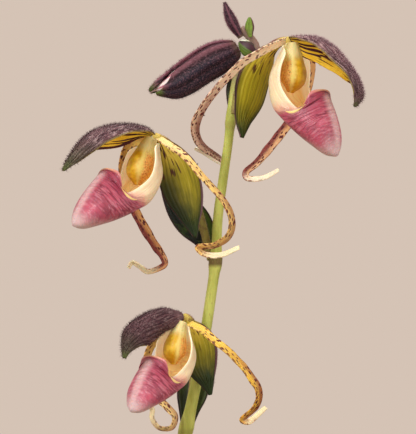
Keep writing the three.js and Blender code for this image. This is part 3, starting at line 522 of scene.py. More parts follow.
def blade(course, side, half_width, bend, thickness, steps, across, fold=0, roll=None, relief=None, crowd=0,
          inner_face=-1, hair=None, edge_power=8):
    """A leaf-like blade along a course. bend is the angle that its half section turns through, fold a
    crease at its midrib, roll the extra turn of its left and right margins, and relief a height over its
    face. Each of them is a function of the place along it, and relief also of the place across."""
    line = Course(course)
    even = np.linspace(0, 1, steps + 1)
    t = lerp(even, (1 - np.cos(math.pi * even)) / 2, crowd)
    u = spaced_across(across)
    centre, along = line.at(t), line.along(t)
    sides = side(t, along) if callable(side) else np.broadcast_to(np.array(side, float), centre.shape)
    sides = unit(sides - along * (sides * along).sum(axis=1, keepdims=True))
    faces = np.cross(along, sides)
    fine = np.linspace(-1, 1, SECTION_SAMPLES)
    turn = read(bend, t)[:, None] * fine + read(fold, t)[:, None] * np.tanh(fine / 0.09)
    if roll is not None:
        left, right, start = roll(t)
        turn = turn + right[:, None] * smooth_step(fine, start, 1)
        turn = turn - left[:, None] * smooth_step(-fine, start, 1)
    width = half_width(t)
    middle = centre[:, None]
    for slope, way in ((np.cos(turn), sides), (np.sin(turn), faces)):
        run = np.cumsum((slope[:, 1:] + slope[:, :-1]) / 2, axis=1)
        run = np.concatenate([np.zeros((len(t), 1)), run], axis=1)
        run = (run - run[:, [SECTION_SAMPLES // 2]]) * (fine[1] - fine[0]) * width[:, None]
        middle = middle + np.array([np.interp(u, fine, row) for row in run])[..., None] * way[:, None]
    if relief is not None:
        middle = middle + grid_normals(middle) * relief(t[:, None], u[None, :])[..., None]
    flat = np.stack(np.broadcast_arrays(u * width.max(), t[:, None] * line.length), axis=2)
    return thick_sheet(middle, u, t, thickness, inner_face, flat, hair, edge_power)


def stalk(course, radius, steps, sides, front=(0, -1, 0), hair=None):
    """A stalk along a course. radius is a function of the place along it and of the angle round it,
    which is 0 at its front."""
    line = Course(course)
    t = np.linspace(0, 1, steps + 1)
    along = line.along(t)
    normals = [np.array(front, float)]
    for way in along:
        normals.append(unit(normals[-1] - way * normals[-1].dot(way)))
    normals = np.array(normals[1:])
    angle = full_turn(sides)
    size = np.broadcast_to(radius(t[:, None], angle[None, :]), (len(t), sides))
    rings = (line.at(t)[:, None] + normals[:, None] * (size * np.cos(angle))[..., None]
             + np.cross(along, normals)[:, None] * (size * np.sin(angle))[..., None])
    turn = np.abs((angle + math.pi) % (2 * math.pi) - math.pi) / math.pi
    place, turn = np.broadcast_arrays(t[:, None], turn)
    mean = float(size.mean())
    flat = np.broadcast_arrays(mean * np.cos(angle), place * line.length, mean * np.sin(angle))
    marks = dict(along=place, turn=turn, flat=np.stack(flat, axis=2))
    if hair is not None:
        marks["hair"] = np.clip(hair(place, turn), 0, 1)
    return Form(rings, **marks)


def open_grid(name, grid):
    """An open mesh over a ring-shaped grid of points. It faces up where its rings run outwards."""
    rows, columns = grid.shape[:2]
    faces = [(i * columns + j, (i + 1) * columns + j, (i + 1) * columns + (j + 1) % columns,
              i * columns + (j + 1) % columns) for i in range(rows - 1) for j in range(columns)]
    mesh = bpy.data.meshes.new(name)
    mesh.from_pydata((grid.reshape(-1, 3) * MM).tolist(), [], faces)
    mesh.update()
    return mesh


class Value:
    """A socket of a node tree that can be used in plain arithmetic."""

    def __init__(self, graph, socket):
        self.graph = graph
        self.socket = socket

    def maths(self, operation, *others):
        """The result of a Math node on this value and others."""
        return self.graph.node("ShaderNodeMath", {"operation": operation}, dict(enumerate((self, *others))))

    def __add__(self, other):
        return self.maths("ADD", other)

    def __mul__(self, other):
        return self.maths("MULTIPLY", other)

    __radd__ = __add__
    __rmul__ = __mul__

    def __sub__(self, other):
        return self.maths("SUBTRACT", other)

    def __rsub__(self, other):
        return self.graph.node("ShaderNodeMath", {"operation": "SUBTRACT"}, {0: other, 1: self})

    def __truediv__(self, other):
        return self.maths("DIVIDE", other)

    def __pow__(self, other):
        return self.maths("POWER", other)

    def __abs__(self):
        return self.maths("ABSOLUTE")

    def rise(self, low, high):
        """A value that goes smoothly from 0 at low to 1 at high."""
        ends = {1: low, 2: high} if low < high else {1: high, 2: low, 3: 1, 4: 0}
        return self.graph.node("ShaderNodeMapRange", {"interpolation_type": "SMOOTHSTEP"}, {0: self, **ends})


class Graph:
    """A node tree in the making, to which one method adds any node."""

    def __init__(self, tree):
        self.tree = tree

    def feed(self, socket, value):
        """Gives a socket what it reads: a link, a number, a vector or a colour."""
        if isinstance(value, Value):
            self.tree.links.new(value.socket, socket)
        else:
            socket.default_value = value

    def node(self, kind, settings=None, inputs=None, output=None):
        """Adds a node with its settings first and then its inputs, by the socket's number or name, and
        returns its output."""
        made = self.tree.nodes.new(kind)
        for key, value in (settings or {}).items():
            setattr(made, key, value)
        for key, value in (inputs or {}).items():
            self.feed(made.inputs[key] if isinstance(key, int) else self.find(made.inputs, key), value)
        return Value(self, self.find(made.outputs, output))

    @staticmethod
    def find(sockets, name):
        """The first socket in use, or the one in use that has this name."""
        return next(s for s in sockets if s.enabled and name in (None, s.name))

    def beside(self, value, name):
        """Another output of the node that a value comes from."""
        return Value(self, value.socket.node.outputs[name])

    def parts(self, vector):
        """The three numbers of a vector."""
        first = self.node("ShaderNodeSeparateXYZ", inputs={0: vector})
        return [self.beside(first, name) for name in "XYZ"]


def shade(colour):
    """A colour as a shader takes it, from one as a picture shows it, from 0 to 255."""
    shares = [c / 255 for c in colour]
    return tuple(c / 12.92 if c <= 0.04045 else ((c + 0.055) / 1.055) ** 2.4 for c in shares) + (1.0,)


def toned(colour, share):
    """A colour made darker or lighter."""
    return tuple(min(c * share, 255) for c in colour)


def picked(setting):
    """The colour of a setting, from 0 to 255."""
    return tuple(255 * c for c in setting)


class Finish(Graph):
    """A procedural material in the making."""

    def __init__(self, name):
        self.material = bpy.data.materials.new(name)
        self.material.use_nodes = True
        super().__init__(self.material.node_tree)
        self.tree.nodes.clear()

    def mark(self, name):
        """A number marked on the mesh's points."""
        return self.node("ShaderNodeAttribute", {"attribute_name": name}, output="Fac")

    def marks(self, *names):
        """The numbers marked on the mesh's points under these names."""
        return [self.mark(name) for name in names]

    def vector_mark(self, name):
        """A place marked on the mesh's points."""
        return self.node("ShaderNodeAttribute", {"attribute_name": name}, output="Vector")

    def place(self):
        """The place on the object, in metres."""
        return self.node("ShaderNodeTexCoord", output="Object")

    def stretch(self, vector, scale):
        """A vector scaled along its three axes."""
        return self.node("ShaderNodeMapping", inputs={"Vector": vector, "Scale": scale})

    def noise(self, vector, scale, detail, roughness=0.55, distortion=0):
        """Cloudy noise from about 0.2 to 0.8."""
        inputs = {"Vector": vector, "Scale": scale, "Detail": detail, "Roughness": roughness,
                  "Distortion": distortion}
        return self.node("ShaderNodeTexNoise", inputs=inputs, output="Fac")

    def cells(self, vector, scale=1, randomness=0.8):
        """The distance to the nearest of scattered points."""
        inputs = {"Vector": vector, "Scale": scale, "Randomness": randomness}
        return self.node("ShaderNodeTexVoronoi", {"feature": "F1"}, inputs, output="Distance")

    def streaks(self, scale, detail, mark="flat", distortion=0):
        """Noise over the places marked on a blade, stretched across it and along it."""
        return self.noise(self.stretch(self.vector_mark(mark), scale), 1, detail, distortion=distortion)

    def layers(self, ground, *coats):
        """A colour with coats over it, each a share and a colour. A colour is a link or is from 0 to 255."""
        for share, coat in coats:
            first, second = (c if isinstance(c, Value) else shade(c) for c in (ground, coat))
            ground = self.node("ShaderNodeMix", {"data_type": "RGBA", "blend_type": "MIX"},
                               {"Factor": share, "A": first, "B": second})
        return ground

    def surface(self, colour, roughness, bump=None, gloss=0.5, flesh=(0, 0.05), **others):
        """Finishes the material with a surface shader and returns it. bump is a height and the distance
        in metres that its range stands for, gloss the strength of the shine, and flesh how much light
        goes under the skin and how far. The name of another input is its socket's in small letters."""
        inputs = dict(base_color=colour, roughness=roughness, specular_ior_level=gloss,
                      subsurface_weight=flesh[0], subsurface_scale=flesh[1], **others)
        if bump is not None:
            inputs["normal"] = self.node("ShaderNodeBump", inputs={"Height": bump[0], "Distance": bump[1]})
        shader = self.tree.nodes.new("ShaderNodeBsdfPrincipled")
        sockets = {socket.name.lower().replace(" ", "_"): socket for socket in shader.inputs}
        for name, value in inputs.items():
            self.feed(sockets[name], value)
        output = self.tree.nodes.new("ShaderNodeOutputMaterial")
        self.tree.links.new(shader.outputs[0], output.inputs["Surface"])
        return self.material


class Growth(Graph):
    """A Geometry Nodes tree in the making. It has the named numbers and the other named inputs given,
    besides its geometry, seed and material."""

    def __init__(self, name, numbers, **others):
        super().__init__(bpy.data.node_groups.new(name, "GeometryNodeTree"))
        self.tree.interface.new_socket("Geometry", in_out="OUTPUT", socket_type="NodeSocketGeometry")
        kinds = {"Geometry": "Geometry", **dict.fromkeys(numbers, "Float"), **others, "Seed": "Int",
                 "Material": "Material"}
        for title, kind in kinds.items():
            self.tree.interface.new_socket(title, in_out="INPUT", socket_type=f"NodeSocket{kind}")
        self.entry = self.tree.nodes.new("NodeGroupInput")

    def given(self, name):
        """One of the tree's named inputs."""
        return Value(self, self.entry.outputs[name])

    def random(self, low, high, draw):
        """A number or a vector at random between two, from one of the draws that follow the seed."""
        kind, first = ("FLOAT_VECTOR", 0) if isinstance(low, tuple) else ("FLOAT", 2)
        return self.node("FunctionNodeRandomValue", {"data_type": kind},
                         {first: low, first + 1: high, "Seed": self.given("Seed") + draw})

    def vector(self, operation, *values, scale=None):
        """The result of a Vector Math node."""
        inputs = dict(enumerate(values))
        if scale is not None:
            inputs["Scale"] = scale
        return self.node("ShaderNodeVectorMath", {"operation": operation}, inputs)

    def marked(self, name):
        """A number marked on the geometry's points."""
        return self.node("GeometryNodeInputNamedAttribute", {"data_type": "FLOAT"}, {"Name": name})

    def mark(self, geometry, domain, name, value):
        """Geometry with a number marked on it."""
        return self.node("GeometryNodeStoreNamedAttribute", {"data_type": "FLOAT", "domain": domain},
                         {"Geometry": geometry, "Name": name, "Value": value})

    def spread(self, share):
        """Points over the geometry at least the spacing apart, fewer where the share is below 1."""
        return self.node("GeometryNodeDistributePointsOnFaces", {"distribute_method": "POISSON"}, {
            "Mesh": self.given("Geometry"), "Distance Min": self.given("Spacing"),
            "Density Max": self.given("Density"), "Density Factor": share, "Seed": self.given("Seed"),
        }, output="Points")

    def cone(self, segments, foot, length):
        """A three-sided cone that stands on the origin."""
        return self.node("GeometryNodeMeshCone", {"fill_type": "NGON"}, {
            "Vertices": 3, "Side Segments": segments, "Radius Top": 0, "Radius Bottom": foot,
            "Depth": length,
        })

    def instances(self, points, shape, rotation, scale, **others):
        """A shape placed on points."""
        return self.node("GeometryNodeInstanceOnPoints", inputs={
            "Points": points, "Instance": shape, "Rotation": rotation, "Scale": scale, **others,
        })

    def finish(self, geometry):
        """Ends the tree in real geometry that wears the tree's material."""
        real = self.node("GeometryNodeRealizeInstances", inputs={"Geometry": geometry})
        smooth = self.node("GeometryNodeSetShadeSmooth", inputs={"Geometry": real})
        worn = {"Geometry": smooth, "Material": self.given("Material")}
        worn = self.node("GeometryNodeSetMaterial", inputs=worn)
        self.feed(self.tree.nodes.new("NodeGroupOutput").inputs[0], worn)


def grow_hairs(name):
    """Hairs scattered over a mesh where it is marked for hair, each a thin bent cone."""
    tree = Growth(name, ("Density", "Length", "Thickness", "Lean", "Bend"), Segments="Int")
    hair = tree.marked("hair")
    scatter = tree.node("GeometryNodeDistributePointsOnFaces", {"distribute_method": "RANDOM"}, {
        "Mesh": tree.given("Geometry"), "Density": tree.given("Density") * hair, "Seed": tree.given("Seed"),
    }, output="Points")
    leaning = tree.vector("SCALE", tree.random((-1, -1, -1), (1, 1, 1), 1), scale=tree.given("Lean"))
    way = tree.vector("ADD", tree.beside(scatter, "Normal"), leaning)
    upright = tree.node("FunctionNodeAlignRotationToVector", {"axis": "Z"}, {"Vector": way})
    spin = tree.random(0, 2 * math.pi, 2)
    spun = tree.node("FunctionNodeAxisAngleToRotation", inputs={"Axis": (0, 0, 1), "Angle": spin})
    turned = tree.node("FunctionNodeRotateRotation", {"rotation_space": "LOCAL"}, {0: upright, 1: spun})
    height = tree.parts(tree.node("GeometryNodeInputPosition"))[2]
    cone = tree.mark(tree.cone(tree.given("Segments"), 1, 1), "POINT", "tip", height)
    swing = tree.node("ShaderNodeCombineXYZ", inputs={"X": height * height * tree.given("Bend")})
    bent = tree.node("GeometryNodeSetPosition", inputs={"Geometry": cone, "Offset": swing})
    length = tree.given("Length") * tree.random(0.55, 1.15, 3) * (hair * 0.5 + 0.5)
    thickness = tree.given("Thickness")
    scale = tree.node("ShaderNodeCombineXYZ", inputs={"X": thickness, "Y": thickness, "Z": length})
    tree.finish(tree.instances(scatter, bent, turned, scale))


def grow_warts(name):
    """Small dark warts scattered over a mesh where it is marked for them, each with a tuft of hairs."""
    tree = Growth(name, ("Density", "Spacing", "Radius", "Hair Length"))
    scatter = tree.spread(tree.marked("wart"))
    dome = tree.node("GeometryNodeMeshIcoSphere", inputs={"Radius": 1, "Subdivisions": 2}, output="Mesh")
    join = tree.tree.nodes.new("GeometryNodeJoinGeometry")
    low_dome = {"Geometry": dome, "Scale": (1, 1, 0.75)}
    tree.feed(join.inputs[0], tree.node("GeometryNodeTransform", inputs=low_dome))
    cone = tree.cone(1, 0.2, tree.given("Hair Length") / tree.given("Radius"))
    for tilt, heading in ((0, 0), (0.6, 0.4), (0.55, 2.5), (0.65, 4.6)):
        turned = {"Geometry": cone, "Rotation": (tilt, 0, heading)}
        tree.feed(join.inputs[0], tree.node("GeometryNodeTransform", inputs=turned))
    scale = tree.given("Radius") * tree.random(0.7, 1.15, 1)
    wart = Value(tree, join.outputs[0])
    tree.finish(tree.instances(scatter, wart, tree.beside(scatter, "Rotation"), scale))


def grow_bits(name):
    """Loose bits scattered over a surface, each one of a collection's shapes at any angle."""
    tree = Growth(name, ("Density", "Spacing", "Size", "Tumble"), Bits="Collection")
    bits = tree.node("GeometryNodeCollectionInfo", inputs={
        "Collection": tree.given("Bits"), "Separate Children": True, "Reset Children": True,
    })
    turn = tree.vector("SCALE", tree.random((-1, -1, -4), (1, 1, 4), 1), scale=tree.given("Tumble"))
    scale = tree.given("Size") * tree.random(0.7, 1.25, 2)
    laid = tree.instances(tree.spread(1), bits, turn, scale, **{"Pick Instance": True})
    tree.finish(tree.mark(laid, "INSTANCE", "tone", tree.random(0, 1, 3)))


def grown_mesh(name, mesh, grow, title, values):
    """The plain mesh that a Geometry Nodes tree makes from a mesh. The tree has a title, and a function
    grows it the first time."""
    if title not in bpy.data.node_groups:
        grow(title)
    base = bpy.data.objects.new(name + "_base", mesh)
    bpy.context.scene.collection.objects.link(base)
    modifier = base.modifiers.new(name, "NODES")
    modifier.node_group = bpy.data.node_groups[title]
    for item in modifier.node_group.interface.items_tree:
        if item.in_out == "INPUT" and item.name in values:
            modifier[item.identifier] = values[item.name]
    evaluated = base.evaluated_get(bpy.context.evaluated_depsgraph_get())
    result = bpy.data.meshes.new_from_object(evaluated)
    base.modifiers.clear()
    bpy.data.objects.remove(base)
    result.name = name
    if not result.polygons:
        raise RuntimeError(f"nothing grew on {name}")
    return result


def make_piece(name, mesh, material, slot, *replaced):
    """A finished piece of the plant, which stands for frame nodes where it replaces them."""
    piece = bpy.data.objects.new(name, mesh)
    bpy.context.scene.collection.objects.link(piece)
    mesh.materials.clear()
    mesh.materials.append(material)
    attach(piece, "root")
    if replaced:
        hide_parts(*replaced)


def make_hairs(name, mesh, slot, material, density, length, thickness, lean=0.4, segments=1, seed=1):
    """A coat of hairs on a mesh, as a piece of its own. The density is in hairs to the square
    millimetre, and the sizes are in millimetres. Hairs too short to show their bend have one segment."""
    hairs = grown_mesh(name, mesh.copy(), grow_hairs, "Hairs on a surface", {
        "Density": density / MM ** 2, "Length": length * MM, "Thickness": thickness * MM / 2, "Lean": lean,
        "Bend": HAIR_BEND * length / thickness, "Segments": segments, "Seed": seed, "Material": material,
    })
    make_piece(name, hairs, material, slot)


def make_hairy_piece(name, form, skin, slot, node, coat, down, **hairs):
    """A piece that stands for a frame node, and the coat of hairs on it."""
    mesh = form.mesh(name)
    make_hairs(coat, mesh, slot, down, **hairs)
    make_piece(name, mesh, skin, slot, node)


def hair_finish(name, root, tip):
    """Hairs that run from one colour at the root to another at the tip, a little varied over the plant."""
    finish = Finish(name)
    patch = finish.noise(finish.place(), 160, 1)
    colour = finish.layers(root, (finish.mark("tip"), tip), (patch.rise(0.4, 0.7) * 0.35, tip))
    return finish.surface(colour, 0.6, gloss=0.3)


def blade_outline(outline, half_width, foot=None, tip=None):
    """The half width of a pointed blade along it, with its foot and its tip where they are given."""
    ends = [[] if end is None else [end / half_width] for end in (foot, tip)]
    shape = eased(ends[0] + outline + ends[1])
    return lambda t: half_width * shape(t)


def everywhere(*places):
    """Hair all over a piece."""
    return 1


def hair_outside(low, high):
    """Hair on a blade's outer face, with the marks between which it starts."""
    return lambda along, across, inside: smooth_step(inside, low, high)


def colour_property(name, description, default):
    """A colour that the sidebar shows."""
    return FloatVectorProperty(name=name, description=description, subtype="COLOR_GAMMA", size=3, min=0,
                               max=1, default=default)


def length_property(name, description, default, low, high):
    """A length in metres that the sidebar shows."""
    return FloatProperty(name=name, description=description, unit="LENGTH", default=default, min=low,
                         max=high)


def pot_inside(height):
    """The radius of the pot's inside at a height."""
    widening = (POT_RIM_RADIUS - RIM_BAND_STEP - POT_FOOT_RADIUS) * height / POT_HEIGHT
    return POT_FOOT_RADIUS + widening - POT_WALL


def rounded_profile(corners, spacing):
    """A profile through corners, each given with the radius that rounds it, as evenly spaced points."""
    points = []
    for i, (x, z, radius) in enumerate(corners):
        here = np.array((x, z), float)
        if radius == 0:
            points.append(here)
            continue
        back, ahead = (here + unit(np.array(corners[i + k][:2]) - here) * radius for k in (-1, 1))
        points += [back * (1 - w) ** 2 + here * 2 * w * (1 - w) + ahead * w ** 2
                   for w in np.linspace(0, 1, 5)]
    fine = [points[0]]
    for point in points[1:]:
        start = fine[-1]
        count = max(int(np.linalg.norm(point - start) / spacing), 1)
        fine += [lerp(start, point, (k + 1) / count) for k in range(count)]
    return np.array(fine)


def drilled(name, mesh, drills):
    """A mesh with other meshes cut out of it."""
    body, *cutters = [bpy.data.objects.new(item.name, item) for item in (mesh, *drills)]
    for item in (body, *cutters):
        bpy.context.scene.collection.objects.link(item)
    for cutter in cutters:
        cut = body.modifiers.new(cutter.name, "BOOLEAN")
        cut.operation = "DIFFERENCE"
        cut.solver = "EXACT"
        cut.object = cutter
    result = bpy.data.meshes.new_from_object(body.evaluated_get(bpy.context.evaluated_depsgraph_get()))
    result.name = name
    body.modifiers.clear()
    for item in (body, *cutters):
        bpy.data.objects.remove(item)
    return result


def terracotta(clay, bloom):
    """Fired clay with a pale mineral bloom, pores and faint throwing lines."""
    finish = Finish("Terracotta")
    place = finish.place()
    height = finish.parts(place)[2]
    cloud = finish.noise(place, 22, 5)
    lines = finish.noise(finish.stretch(place, (6, 6, 420)), 1, 2)
    salt = finish.noise(place, 38, 8, roughness=0.7)
    pores = finish.cells(place, 900, 1)
    grit = finish.noise(place, 1400, 2)
    damp = height.rise(0.06, 0) * 0.16 + height.rise(0.12, 0.145) * 0.1
    colour = finish.layers(
        toned(clay, 0.74),
        (cloud.rise(0.3, 0.72), clay),
        (lines.rise(0.45, 0.75) * 0.3, toned(clay, 1.14)),
        ((salt + damp).rise(0.56, 0.74) * 0.6, bloom),
        (pores.rise(0.22, 0.1) * 0.5, toned(clay, 0.42)),
    )
    relief = lines * 0.5 + grit * 0.35 + pores.rise(0, 0.3) * 0.3
    return finish.surface(colour, salt.rise(0.3, 0.8) * 0.14 + 0.8, (relief, 0.0003), gloss=0.25)


class PotSettings(bpy.types.PropertyGroup):
    """The look of the pot."""

    clay: colour_property("Clay", "Colour of the fired clay", (0.70, 0.40, 0.26))
    bloom: colour_property("Bloom", "Colour of the mineral bloom on the clay", (0.83, 0.73, 0.65))
    ridge: length_property("Throwing ridges", "Height of the ridges left by the potter's fingers",
                           0.00028, 0, 0.001)


class MakePot(bpy.types.Operator):
    """Turn the clay pot, with its rim band and drain holes"""

    bl_idname = "orchid.make_pot"
    bl_label = "Clay pot"

    def execute(self, context):
        settings = context.scene.orchid_pot
        band_foot = POT_HEIGHT - RIM_BAND_HEIGHT
        outside = pot_inside(band_foot) + POT_WALL
        profile = rounded_profile([
            (0, 0, 0), (POT_FOOT_RADIUS - 0.3, 0, 1.4), (outside, band_foot, 1.2),
            (outside + RIM_BAND_STEP, band_foot + 2.5, 1.2), (POT_RIM_RADIUS, POT_HEIGHT - 0.4, 2.2),
            (pot_inside(POT_HEIGHT), POT_HEIGHT - 0.4, 2.2), (pot_inside(POT_FLOOR), POT_FLOOR, 3.5),
            (0, POT_FLOOR, 0),
        ], 1.5)
        turn = full_turn(160)
        radius, height = np.maximum(profile[:, :1], 0.05), profile[:, 1:]
        wall = smooth_step(radius, POT_FOOT_RADIUS - 6, POT_FOOT_RADIUS - 1)
        wall = wall * amid(height, 2, 8, POT_HEIGHT - 4, POT_HEIGHT)
        ridges = np.sin(height * 1.25 + turn) + 0.5 * np.sin(height * 0.53 + 2 * turn)
        sway = np.sin(2 * turn + 0.6) * 0.5
        radius = radius + wall * (ridges * settings.ridge / MM * 0.55 + sway * 0.35 - 0.35)
        drills = []
        for i in range(DRAIN_COUNT):
            angle = (360 * i / DRAIN_COUNT + 30) * DEG
            centre = DRAIN_PLACE * math.cos(angle), DRAIN_PLACE * math.sin(angle)
            steps = (-5, 0.6), (0.4, 0.5), (1.2, 0), (POT_FLOOR - 1, 0), (POT_FLOOR + 5, 0.4)
            rings = [circle(DRAIN_RADIUS + wider, level, full_turn(32), centre) for level, wider in steps]
            drills.append(Form(rings).mesh(f"drain_{i}"))
        body = drilled("clay_pot", Form(circle(radius, height, turn)).mesh("pot_body"), drills)
        skin = terracotta(picked(settings.clay), picked(settings.bloom))
        make_piece("clay_pot", body, skin, "clay", "pot")
        return {"FINISHED"}


def bark(name, loose):
    """Composted bark in flat layers, some chips redder and some greyer."""
    finish = Finish(name)
    place = finish.place()
    grain = finish.vector_mark("grain") if loose else place
    tone = finish.mark("tone") if loose else finish.noise(place, 60, 2)
    layers = finish.noise(finish.stretch(grain, (60, 120, 900)), 1, 4)
    patch = finish.noise(grain, 260, 4)
    colour = finish.layers(
        (86, 54, 34),
        (tone.rise(0, 0.9), (146, 99, 62)),
        (layers.rise(0.4, 0.62) * 0.75, (58, 37, 25)),
        (patch.rise(0.55, 0.75) * 0.5, (164, 126, 88)),
        (tone.rise(0.82, 0.98) * 0.45, (128, 118, 104)),
    )
    relief = layers * 0.7 + patch * 0.6
    return finish.surface(colour, layers.rise(0.3, 0.7) * 0.15 + 0.8, (relief, 0.0012), gloss=0.25)


def chip_mesh(seed):
    """One flat chip of bark, 1 unit long, with the places of its grain marked in metres."""
    turn = full_turn(14)
    boxy = (np.abs(np.cos(turn)) ** 6 + np.abs(np.sin(turn)) ** 6) ** (-1 / 6)
    rings = []
    for t in np.linspace(0, 1, 6):
        width = (0.24 + 0.1 * noise.noise(Vector((seed, t * 2, 1)))) * (1 - 0.4 * abs(2 * t - 1) ** 3)
        depth = 0.11 + 0.05 * noise.noise(Vector((seed, t * 2, 5)))
        ring = [0 * turn + t - 0.5, width * boxy * np.cos(turn), depth * boxy * np.sin(turn)]
        stray = [noise.noise_vector(Vector((x * 3 + seed, y * 5, z * 5))) for x, y, z in zip(*ring)]
        rings.append(np.stack(ring, axis=1) + np.array(stray) * (0.07, 0.06, 0.035))
    mesh = Form(rings, grain=np.array(rings) * 0.02).mesh(f"chip_{seed}")
    mesh.transform(Matrix.Scale(1 / MM, 4))
    mesh.shade_flat()
    return mesh


def crown_reach(x, y):
    """How far a place is from the crown, with 1 on the oval edge of the hole that the leaves stand in."""
    return np.sqrt((x / CROWN_LENGTH) ** 2 + (y / CROWN_WIDTH) ** 2)


class BarkSettings(bpy.types.PropertyGroup):
    """The bark mix in the pot."""

    chip: length_property("Chip length", "Length of a large chip of bark", 0.022, 0.01, 0.04)
    seed: IntProperty(name="Seed", description="Seed of the chips' shapes and places", default=11, min=1)


class MakeBark(bpy.types.Operator):
    """Fill the pot with bark mix and scatter chips over it"""

    bl_idname = "orchid.make_bark"
    bl_label = "Bark mix"

    def execute(self, context):
        settings = context.scene.orchid_bark
        noise.seed_set(settings.seed)
        turn = full_turn(ROUND_SIDES)
        foot = POT_FLOOR + 4.3
        sides = [(pot_inside(height) - 0.3, height) for height in (foot, 70, MIX_LEVEL - 2)]
        rings = [circle(radius, height, turn) for radius, height in (
            (0.05, foot), (pot_inside(foot) * 0.6, foot), *sides)]
        for radius in np.linspace(pot_inside(MIX_LEVEL) - 0.9, 0.05, 40):
            x, y, _ = circle(radius, 0, turn).T
            lumps = np.array([noise.fractal(Vector((a / 9, b / 9, 2)), 1, 2, 4) for a, b in zip(x, y)])
            height = MIX_LEVEL - 1.5 + 2.4 * lumps - 23 * smooth_step(crown_reach(x, y), 1.02, 0.9)
            rings.append(circle(radius, height, turn))
        bed = Form(rings).mesh("bark_bed")
        make_piece("bark_bed", bed, bark("Bark fines", False), "bark", "potting_mix")

        chips = bpy.data.collections.new("Bark chips")
        context.scene.collection.children.link(chips)
        shapes = [bpy.data.objects.new(f"chip_{i}", chip_mesh(i + 3)) for i in range(6)]
        for shape in shapes:
            chips.objects.link(shape)
        material = bark("Bark chips", True)
        for i, (name, reach, spacing, size, tumble) in enumerate(LOOSE_BARK):
            inner = 1 / crown_reach(np.cos(turn), np.sin(turn)) + 1 + 7 * size
            grid = [circle(lerp(inner, reach, share), MIX_LEVEL + 0.6, turn)
                    for share in np.linspace(0, 1, 14)]
            mesh = grown_mesh(name, open_grid(f"{name}_bed", np.array(grid)), grow_bits, "Bits on a bed", {
                "Bits": chips, "Spacing": spacing * MM, "Density": 60000.0, "Size": settings.chip * size,
                "Tumble": tumble, "Seed": settings.seed + 10 * i, "Material": material,
            })
            make_piece(name, mesh, material, "bark")
        for shape in shapes:
            bpy.data.objects.remove(shape)
        bpy.data.collections.remove(chips)
        return {"FINISHED"}


def leaf_green(green):
    """Glossy leaf green, paler below, with faint lengthwise veins and purple freckles at its foot."""
    finish = Finish("Leaf")
    flat = finish.vector_mark("flat")
    along, across, inside = finish.marks("along", "across", "inside")
    cloud = finish.noise(finish.place(), 30, 4)
    fibre = finish.streaks((1.6, 0.02, 0), 2)
    freckles = finish.cells(finish.stretch(flat, (0.55, 0.3, 0)))
    veins = finish.node("ShaderNodeTexWave", {"wave_type": "BANDS", "bands_direction": "X"}, {
        "Vector": finish.stretch(flat, (0.12, 0.002, 0)), "Scale": 1, "Distortion": 0.6,
    }, output="Fac")
    colour = finish.layers(
        toned(green, 0.78),
        (cloud.rise(0.3, 0.7), green),
        (fibre.rise(0.45, 0.7) * 0.25, toned(green, 1.25)),
        (veins.rise(0.82, 1) * 0.22, (122, 150, 74)),
        (abs(finish.parts(flat)[0]).rise(1.6, 0.2) * 0.45, (136, 160, 88)),
        (inside.rise(0.55, 0.4) * 0.5, (132, 152, 98)),
        (freckles.rise(0.34, 0.2) * along.rise(0.3, 0.06), (88, 44, 58)),
        (along.rise(0.07, 0.02) * 0.7, (178, 178, 128)),
        (abs(across).rise(0.975, 1) * 0.5, (150, 164, 92)),
    )
    rough = fibre * 0.12 + inside.rise(0.6, 0.4) * 0.18 + 0.3
    return finish.surface(colour, rough, (veins * 0.5 + fibre * 0.25, 0.0003), gloss=0.45, coat_weight=0.08)


class LeafSettings(bpy.types.PropertyGroup):
    """The look of the leaves."""

    green: colour_property("Green", "Colour of a leaf's upper face", (0.27, 0.43, 0.17))
    groove: length_property("Midrib groove", "Depth of the groove along a leaf's middle", 0.0009, 0, 0.002)


